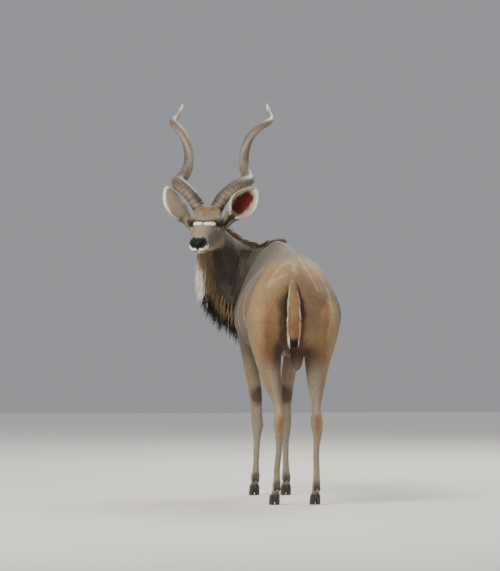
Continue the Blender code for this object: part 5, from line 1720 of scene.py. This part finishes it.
def new_material(name, roughness, settings):
    """A Principled material and the means to write its nodes."""
    made = bpy.data.materials.new(name)
    made.use_nodes = True
    shader = made.node_tree.nodes["Principled BSDF"]
    shader.inputs["Roughness"].default_value = roughness
    for key, value in settings.items():
        shader.inputs[key].default_value = value
    return made, Value(made.node_tree)


def feed(net, key, value):
    """Link a value to a socket of the material's shader."""
    net.tree.links.new(value.socket, net.tree.nodes["Principled BSDF"].inputs[key])


def relief(net, strength, distance, height):
    """Fine relief of the surface."""
    inputs = {"Strength": strength, "Distance": distance, "Height": height}
    feed(net, "Normal", net.node("ShaderNodeBump", {}, inputs, "Normal"))


def mix_inputs(net, share, one, other):
    """A colour between two, by the Mix node's own colour sockets."""
    made = net.tree.nodes.new("ShaderNodeMix")
    made.data_type = "RGBA"
    for socket, value in ((made.inputs[0], share), (made.inputs[6], one), (made.inputs[7], other)):
        if isinstance(value, Value):
            net.tree.links.new(value.socket, socket)
        else:
            socket.default_value = value
    return Value(net.tree, made.outputs[2])


def coat_material(name, bump):
    """Short hair: the coat's markings, broken by fine streaks along the lie."""
    made, net = new_material(name, 0.72, {"Sheen Weight": 0.10, "Sheen Roughness": 0.5,
                                          "Specular IOR Level": 0.25})
    colour = net.attribute("coat", True)
    level = net.grain(230.0, (1.0, 0.20, 1.0), 5.0)
    upright = net.grain(230.0, (1.0, 1.0, 0.20), 5.0)
    share = net.attribute("upright")
    streaks = level * (1 - share) + upright * share
    patches = net.grain(9.0, (1.0, 1.0, 0.7), 2.0)
    feed(net, "Base Color", net.shade(colour, 0.08 + streaks * 1.35 + patches * 0.50))
    feed(net, "Roughness", 0.60 + streaks * 0.25)
    relief(net, 0.8, bump, streaks)
    return made


def hair_material(name):
    """Tufts and long locks: each strand's own colour with a little grain."""
    made, net = new_material(name, 0.62, {"Sheen Weight": 0.08, "Specular IOR Level": 0.3})
    colour = net.attribute("coat", True)
    grain = net.grain(160.0, (1.0, 1.0, 0.3), 3.0)
    feed(net, "Base Color", net.shade(colour, 0.80 + grain * 0.60))
    relief(net, 0.35, 0.0008, grain)
    return made


def horn_material():
    """Grey-brown horn, darker in its grooves, pale on its keel and ivory at its tip."""
    horns = bpy.context.scene.kudu_horns
    made, net = new_material("kudu_horn", 0.45, {"Specular IOR Level": 0.4})
    along, keel = net.attribute("along"), net.attribute("keel")
    stops = [(0.0, horns.base), (0.22, horns.middle), (0.70, horns.middle), (0.93, horns.upper)]
    tone = net.node("ShaderNodeValToRGB", {"stops": [*stops, (0.985, horns.tip)]}, {"Fac": along})
    grain = net.grain(60.0, (1.0, 1.0, 0.5), 4.0)
    streak = net.grain(14.0, (1.0, 1.0, 1.0), 3.0)
    mixed_tone = mix_inputs(net, keel * 0.55, tone, (*tuple(horns.keel)[:3], 1.0))
    light = 0.30 + grain * 0.75 + streak * 0.75 - net.attribute("furrow") * 0.38
    feed(net, "Base Color", net.shade(mixed_tone, light))
    feed(net, "Roughness", 0.42 + grain * 0.25)
    relief(net, 0.5, 0.0012, grain + streak * 0.5)
    return made


def eye_material():
    """A dark brown iris round a nearly black pupil under a wet surface."""
    made, net = new_material("kudu_eye", 0.06, {"Coat Weight": 1.0, "Coat Roughness": 0.02})
    facing = net.attribute("facing")
    grain = net.grain(240.0, (1.0, 1.0, 1.0), 2.0)
    tone = net.node("ShaderNodeValToRGB", {"stops": IRIS_STOPS}, {"Fac": facing})
    feed(net, "Base Color", net.shade(tone, 0.8 + grain * 0.4))
    return made


def hoof_material():
    """Black horn with growth lines and dusty patches."""
    hooves = bpy.context.scene.kudu_feet
    made, net = new_material("kudu_hoof", 0.5, {"Specular IOR Level": 0.4})
    lines = net.grain(30.0, (0.6, 0.6, 6.0), 3.0)
    wear = net.grain(45.0, (1.0, 1.0, 1.0), 3.0)
    dark = tuple(hooves.colour)[:3]
    tone = mix_inputs(net, lines * 0.45 + wear * 0.25, (*dark, 1.0), (*(c * 3.2 + 0.02 for c in dark), 1.0))
    feed(net, "Base Color", tone)
    feed(net, "Roughness", 0.38 + wear * 0.25)
    relief(net, 0.45, 0.001, lines + wear * 0.4)
    return made


def floor_material():
    """A plain pale floor."""
    stage = bpy.context.scene.kudu_stage
    made, net = new_material("studio_floor", 0.85, {"Base Color": (*tuple(stage.floor)[:3], 1.0)})
    grain = net.grain(2.0, (1.0, 1.0, 1.0), 2.0)
    feed(net, "Roughness", 0.80 + grain * 0.1)
    return made


def dress(obj, material):
    """Give the object this one material."""
    obj.data.materials.clear()
    obj.data.materials.append(material)
    return obj


# Settings

def shown(*values):
    """A colour from its values on a screen, 0 to 255."""
    return tuple(((v / 255 + 0.055) / 1.055) ** 2.4 if v > 10 else v / 255 / 12.92 for v in values)


def colour_setting(name, description, values):
    """A colour that a user may change."""
    return bpy.props.FloatVectorProperty(name=name, description=description, default=shown(*values),
                                         size=3, min=0.0, max=1.0, subtype="COLOR")


def length_setting(name, description, default, low, high):
    """A length that a user may change."""
    return bpy.props.FloatProperty(name=name, description=description, default=default, min=low, max=high,
                                   subtype="DISTANCE", unit="LENGTH", precision=4)


def count_setting(name, description, default, low, high):
    """A number of tufts or locks that a user may change."""
    return bpy.props.IntProperty(name=name, description=description, default=default, min=low, max=high)


def angle_setting(name, description, degrees):
    """An angle that a user may change."""
    return bpy.props.FloatProperty(name=name, description=description, default=math.radians(degrees),
                                   subtype="ANGLE", unit="ROTATION")


class KuduCoat(bpy.types.PropertyGroup):
    """Depth, length and colours of the coat."""
    depth: length_setting("Coat depth", "How far the skin lies inside the solids", 0.003, 0.0, 0.02)
    tuft_width: length_setting("Tuft width", "Width of a short tuft", 0.0026, 0.001, 0.01)
    tufts: count_setting("Tufts", "Short tufts over the whole coat", 56000, 0, 72000)
    # besides the coat's own colours, some stand for light: dark, dark brown, brown, black and ear cup partly
    # as painted shade; gold, pale and cream partly as painted highlight
    grey: colour_setting("Grey", "Withers and shoulder", (88, 79, 67))
    neck: colour_setting("Neck", "Sides of the neck", (78, 70, 60))
    tan: colour_setting("Tan", "Rump and flank", (134, 108, 74))
    gold: colour_setting("Gold", "Edges of the rump and hocks", (156, 122, 80))
    rust: colour_setting("Rust", "Back of the thigh and tail", (120, 78, 46))
    brown: colour_setting("Brown", "Middle of the rump and crest", (106, 86, 62))
    liver: colour_setting("Dark brown", "Garters and between the thighs", (58, 36, 27))
    pale: colour_setting("Pale", "Legs and belly", (142, 130, 112))
    cream: colour_setting("Cream", "Ear rims and throat", (196, 178, 142))
    white: colour_setting("White", "Lips, band of the nose and fringes", (244, 242, 236))
    dark: colour_setting("Dark", "Round the eyes and pasterns", (36, 27, 21))
    black: colour_setting("Black", "Nose, mouth and end of the tail", (9, 9, 10))
    face: colour_setting("Face", "Sides of the face and backs of the ears", (128, 114, 95))
    ear: colour_setting("Ear cup", "Inside of the ears", (84, 22, 12))


class KuduManes(bpy.types.PropertyGroup):
    """How many locks the manes and the tail have."""
    throat_locks: count_setting("Throat locks", "Locks of the throat mane", 4800, 100, 5000)
    nape_locks: count_setting("Nape locks", "Locks of the nape mane", 2100, 100, 4000)
    spine_locks: count_setting("Spine locks", "Locks along the spine", 2400, 100, 4000)
    tail_locks: count_setting("Tail locks", "Locks of the tail", 2600, 100, 4000)


class KuduHorns(bpy.types.PropertyGroup):
    """Ridges and colours of the horns."""
    ridge_spacing: length_setting("Ridge spacing", "Distance between the ridges", 0.017, 0.005, 0.05)
    ridge_height: length_setting("Ridge height", "Height of the ridges", 0.0026, 0.0, 0.005)
    base: colour_setting("Base", "Foot of the horns", (62, 46, 34))
    middle: colour_setting("Middle", "Most of the horns", (104, 90, 76))
    upper: colour_setting("Upper", "Below the tips", (132, 120, 104))
    tip: colour_setting("Tip", "Tips of the horns", (226, 216, 194))
    keel: colour_setting("Keel", "Ridge that winds round the horns", (150, 138, 118))


class KuduFeet(bpy.types.PropertyGroup):
    """Colour of the hooves."""
    colour: colour_setting("Hoof", "Horn of the hooves", (36, 33, 32))


class KuduStage(bpy.types.PropertyGroup):
    """Floor, light and camera."""
    floor: colour_setting("Floor", "Plain pale floor", (214, 210, 204))
    turn: angle_setting("Turn", "How far the camera stands to the side", 5.5)
    rise: angle_setting("Rise", "How far the camera looks down", 0.8)
    distance: length_setting("Distance", "From the camera to the animal", 32.0, 5.0, 60.0)
    pixel: length_setting("Pixel", "Size of one row of the picture at the animal", 0.0054, 0.001, 0.05)


# Operators

class KUDU_OT_skin(bpy.types.Operator):
    """Model the skin from muzzle to coronets, with its ears and tail"""
    bl_idname = "kudu.skin"
    bl_label = "Skin"

    def execute(self, context):
        skin = skin_shape()
        skin.name = skin.data.name = "kudu_skin"
        points, normals = read_points(skin.data), read_normals(skin.data)
        store(skin, "coat", markings(points, normals))
        store(skin, "upright", lie_of(points)[:, 2] ** 2)
        select_only(skin)
        bpy.ops.object.mode_set(mode="EDIT")
        bpy.ops.mesh.select_all(action="SELECT")
        bpy.ops.uv.smart_project(angle_limit=1.15, island_margin=0.003, scale_to_bounds=True)
        bpy.ops.object.mode_set(mode="OBJECT")
        skin.data.uv_layers[0].name = "OFBake"
        dress(skin, coat_material("kudu_coat", 0.0040))
        return {"FINISHED"}


class KUDU_OT_coat(bpy.types.Operator):
    """Plant the short coat over the skin"""
    bl_idname = "kudu.coat"
    bl_label = "Short coat"

    def execute(self, context):
        ground = Ground(bpy.data.objects["kudu_skin"])
        material = hair_material("kudu_hair")
        coat = context.scene.kudu_coat
        across, forward, up = head_places(ground.middle).T
        from_eye = np.stack([np.abs(across), forward, up], axis=1) - EYE
        face = (forward > -0.02) & (up > -0.25) & (np.abs(across) < 0.15)
        bare = face & ((forward > 0.335) | (np.linalg.norm(from_eye, axis=1) < 0.032))
        legs = ground.middle[:, 2] < 0.72
        front = (ground.middle[:, 1] > 0.12) & ~legs & ~face
        above_hooves = ground.middle[:, 2] > 0.056
        regions = {"coat_rear": ~front & ~legs & ~face, "coat_front": front, "coat_legs": legs & above_hooves,
                   "coat_head": face & ~bare}
        share = coat.tufts / sum(count for count, _ in COATS.values())
        for name, (count, size) in COATS.items():
            made = short_coat(name, ground, int(count * share), regions[name].astype(float) + 1e-12,
                              len(name) + count, coat.tuft_width * size)
            finish_piece(dress(made, material), [], False)
        return {"FINISHED"}


class KUDU_OT_manes(bpy.types.Operator):
    """Model the throat mane, nape mane, spine, tail and ear hair"""
    bl_idname = "kudu.manes"
    bl_label = "Manes and tail"

    def execute(self, context):
        ground = Ground(bpy.data.objects["kudu_skin"])
        material = bpy.data.materials["kudu_hair"]
        for build in (throat_mane, nape_mane, tail_hair, ear_hair):
            finish_piece(dress(build(ground), material), [], False)
        skin = bpy.data.objects["kudu_skin"]
        finish_piece(skin, ["torso", "neck", "head", "left_ear", "right_ear", "tail", *FEET])
        return {"FINISHED"}


def finish_pair(shape, noun, material, node):
    """A piece of this shape on each side, in place of the solids' own."""
    for side, word in ((-1, "left"), (1, "right")):
        finish_piece(dress(shape(f"{word}_{noun}", side), material), [f"{word}_{node}"])


class KUDU_OT_horns(bpy.types.Operator):
    """Model the two horns"""
    bl_idname = "kudu.horns"
    bl_label = "Horns"

    def execute(self, context):
        finish_pair(horn_shape, "horn_shell", horn_material(), "horn")
        return {"FINISHED"}


class KUDU_OT_eyes(bpy.types.Operator):
    """Model the two eyes"""
    bl_idname = "kudu.eyes"
    bl_label = "Eyes"

    def execute(self, context):
        finish_pair(eye_shape, "eyeball", eye_material(), "eye")
        return {"FINISHED"}


class KUDU_OT_hooves(bpy.types.Operator):
    """Model the four hooves"""
    bl_idname = "kudu.hooves"
    bl_label = "Hooves"

    def execute(self, context):
        material = hoof_material()
        for leg in FEET:
            made = dress(hoof_shape(f"{leg}_claws", leg), material)
            finish_piece(made, [f"{leg}_hoof"])
        return {"FINISHED"}


class KUDU_OT_stage(bpy.types.Operator):
    """Lay the floor, light the animal and set the camera"""
    bl_idname = "kudu.stage"
    bl_label = "Stage"

    def execute(self, context):
        stage = context.scene.kudu_stage
        bpy.ops.object.select_all(action="DESELECT")
        bpy.ops.mesh.primitive_plane_add(size=26.0, location=(0, 0, -0.0015))
        floor = bpy.context.active_object
        floor.name = "studio_floor"
        bpy.ops.object.transform_apply(location=True, rotation=True, scale=True)
        dress(floor, floor_material())
        world = bpy.data.worlds.new("studio")
        context.scene.world = world
        world.use_nodes = True
        world.node_tree.nodes["Background"].inputs["Color"].default_value = (0.93, 0.95, 1.0, 1.0)
        world.node_tree.nodes["Background"].inputs["Strength"].default_value = 0.34
        for name, place, size, power, tone in (("key", (-3.4, -4.2, 6.4), 2.4, 640, (1.0, 0.96, 0.90)),
                                               ("fill", (4.5, -5.5, 3.0), 4.0, 60, (0.93, 0.96, 1.0)),
                                               ("rim", (2.4, 4.6, 5.2), 3.0, 420, (1.0, 0.96, 0.90))):
            lamp = bpy.data.lights.new(name, "AREA")
            lamp.energy, lamp.size, lamp.color = power, size, tone
            light = bpy.data.objects.new(name, lamp)
            light.location = place
            light.rotation_euler = (Vector((0, 0, 1.0)) - Vector(place)).to_track_quat("-Z", "Y").to_euler()
            context.scene.collection.objects.link(light)
        sky = bpy.data.lights.new("sky", "SUN")
        sky.energy, sky.angle, sky.color = 0.85, math.radians(120), (0.97, 0.98, 1.0)
        context.scene.collection.objects.link(bpy.data.objects.new("sky", sky))
        lens = bpy.data.cameras.new("photo_view")
        camera = bpy.data.objects.new("photo_view", lens)
        context.scene.collection.objects.link(camera)
        level = math.cos(stage.rise)
        view = Vector((math.sin(stage.turn) * level, math.cos(stage.turn) * level, -math.sin(stage.rise)))
        target = Vector((PHOTO_ASIDE / math.cos(stage.turn), 0, PHOTO_HEIGHT)) + shift_to_solids()
        camera.location = target - view * stage.distance
        camera.rotation_euler = view.to_track_quat("-Z", "Y").to_euler()
        lens.sensor_fit = "VERTICAL"
        lens.angle = 2 * math.atan(PHOTO_ROWS * stage.pixel / 2 / stage.distance)
        lens.clip_end = 200.0
        context.scene.camera = camera
        return {"FINISHED"}


class KUDU_PT_panel(bpy.types.Panel):
    """Lists the settings and steps of the animal"""
    bl_idname = "KUDU_PT_panel"
    bl_label = "Greater kudu"
    bl_space_type = "VIEW_3D"
    bl_region_type = "UI"
    bl_category = "Kudu"

    def draw(self, context):
        for title, group in (("Coat", context.scene.kudu_coat), ("Manes", context.scene.kudu_manes),
                             ("Horns", context.scene.kudu_horns), ("Feet", context.scene.kudu_feet),
                             ("Stage", context.scene.kudu_stage)):
            box = self.layout.box()
            box.label(text=title)
            for key in group.__annotations__:
                box.prop(group, key)
        for step in STEPS:
            self.layout.operator(step.bl_idname)


GROUPS = {"kudu_coat": KuduCoat, "kudu_manes": KuduManes, "kudu_horns": KuduHorns, "kudu_feet": KuduFeet,
          "kudu_stage": KuduStage}
STEPS = (KUDU_OT_skin, KUDU_OT_coat, KUDU_OT_manes, KUDU_OT_horns, KUDU_OT_eyes, KUDU_OT_hooves,
         KUDU_OT_stage)


def register():
    """Register the classes and their settings."""
    for name, group in GROUPS.items():
        bpy.utils.register_class(group)
        setattr(bpy.types.Scene, name, bpy.props.PointerProperty(type=group))
    for step in STEPS:
        bpy.utils.register_class(step)
    bpy.utils.register_class(KUDU_PT_panel)


def unregister():
    """Take the classes and their settings out again."""
    bpy.utils.unregister_class(KUDU_PT_panel)
    for step in reversed(STEPS):
        bpy.utils.unregister_class(step)
    for name, group in GROUPS.items():
        delattr(bpy.types.Scene, name)
        bpy.utils.unregister_class(group)


def main():
    """Build the animal and its stage."""
    register()
    bpy.ops.object.select_all(action="DESELECT")
    bpy.ops.kudu.skin()
    bpy.ops.kudu.coat()
    bpy.ops.kudu.manes()
    bpy.ops.kudu.horns()
    bpy.ops.kudu.eyes()
    bpy.ops.kudu.hooves()
    bpy.ops.kudu.stage()


if __name__ == "__main__":
    main()
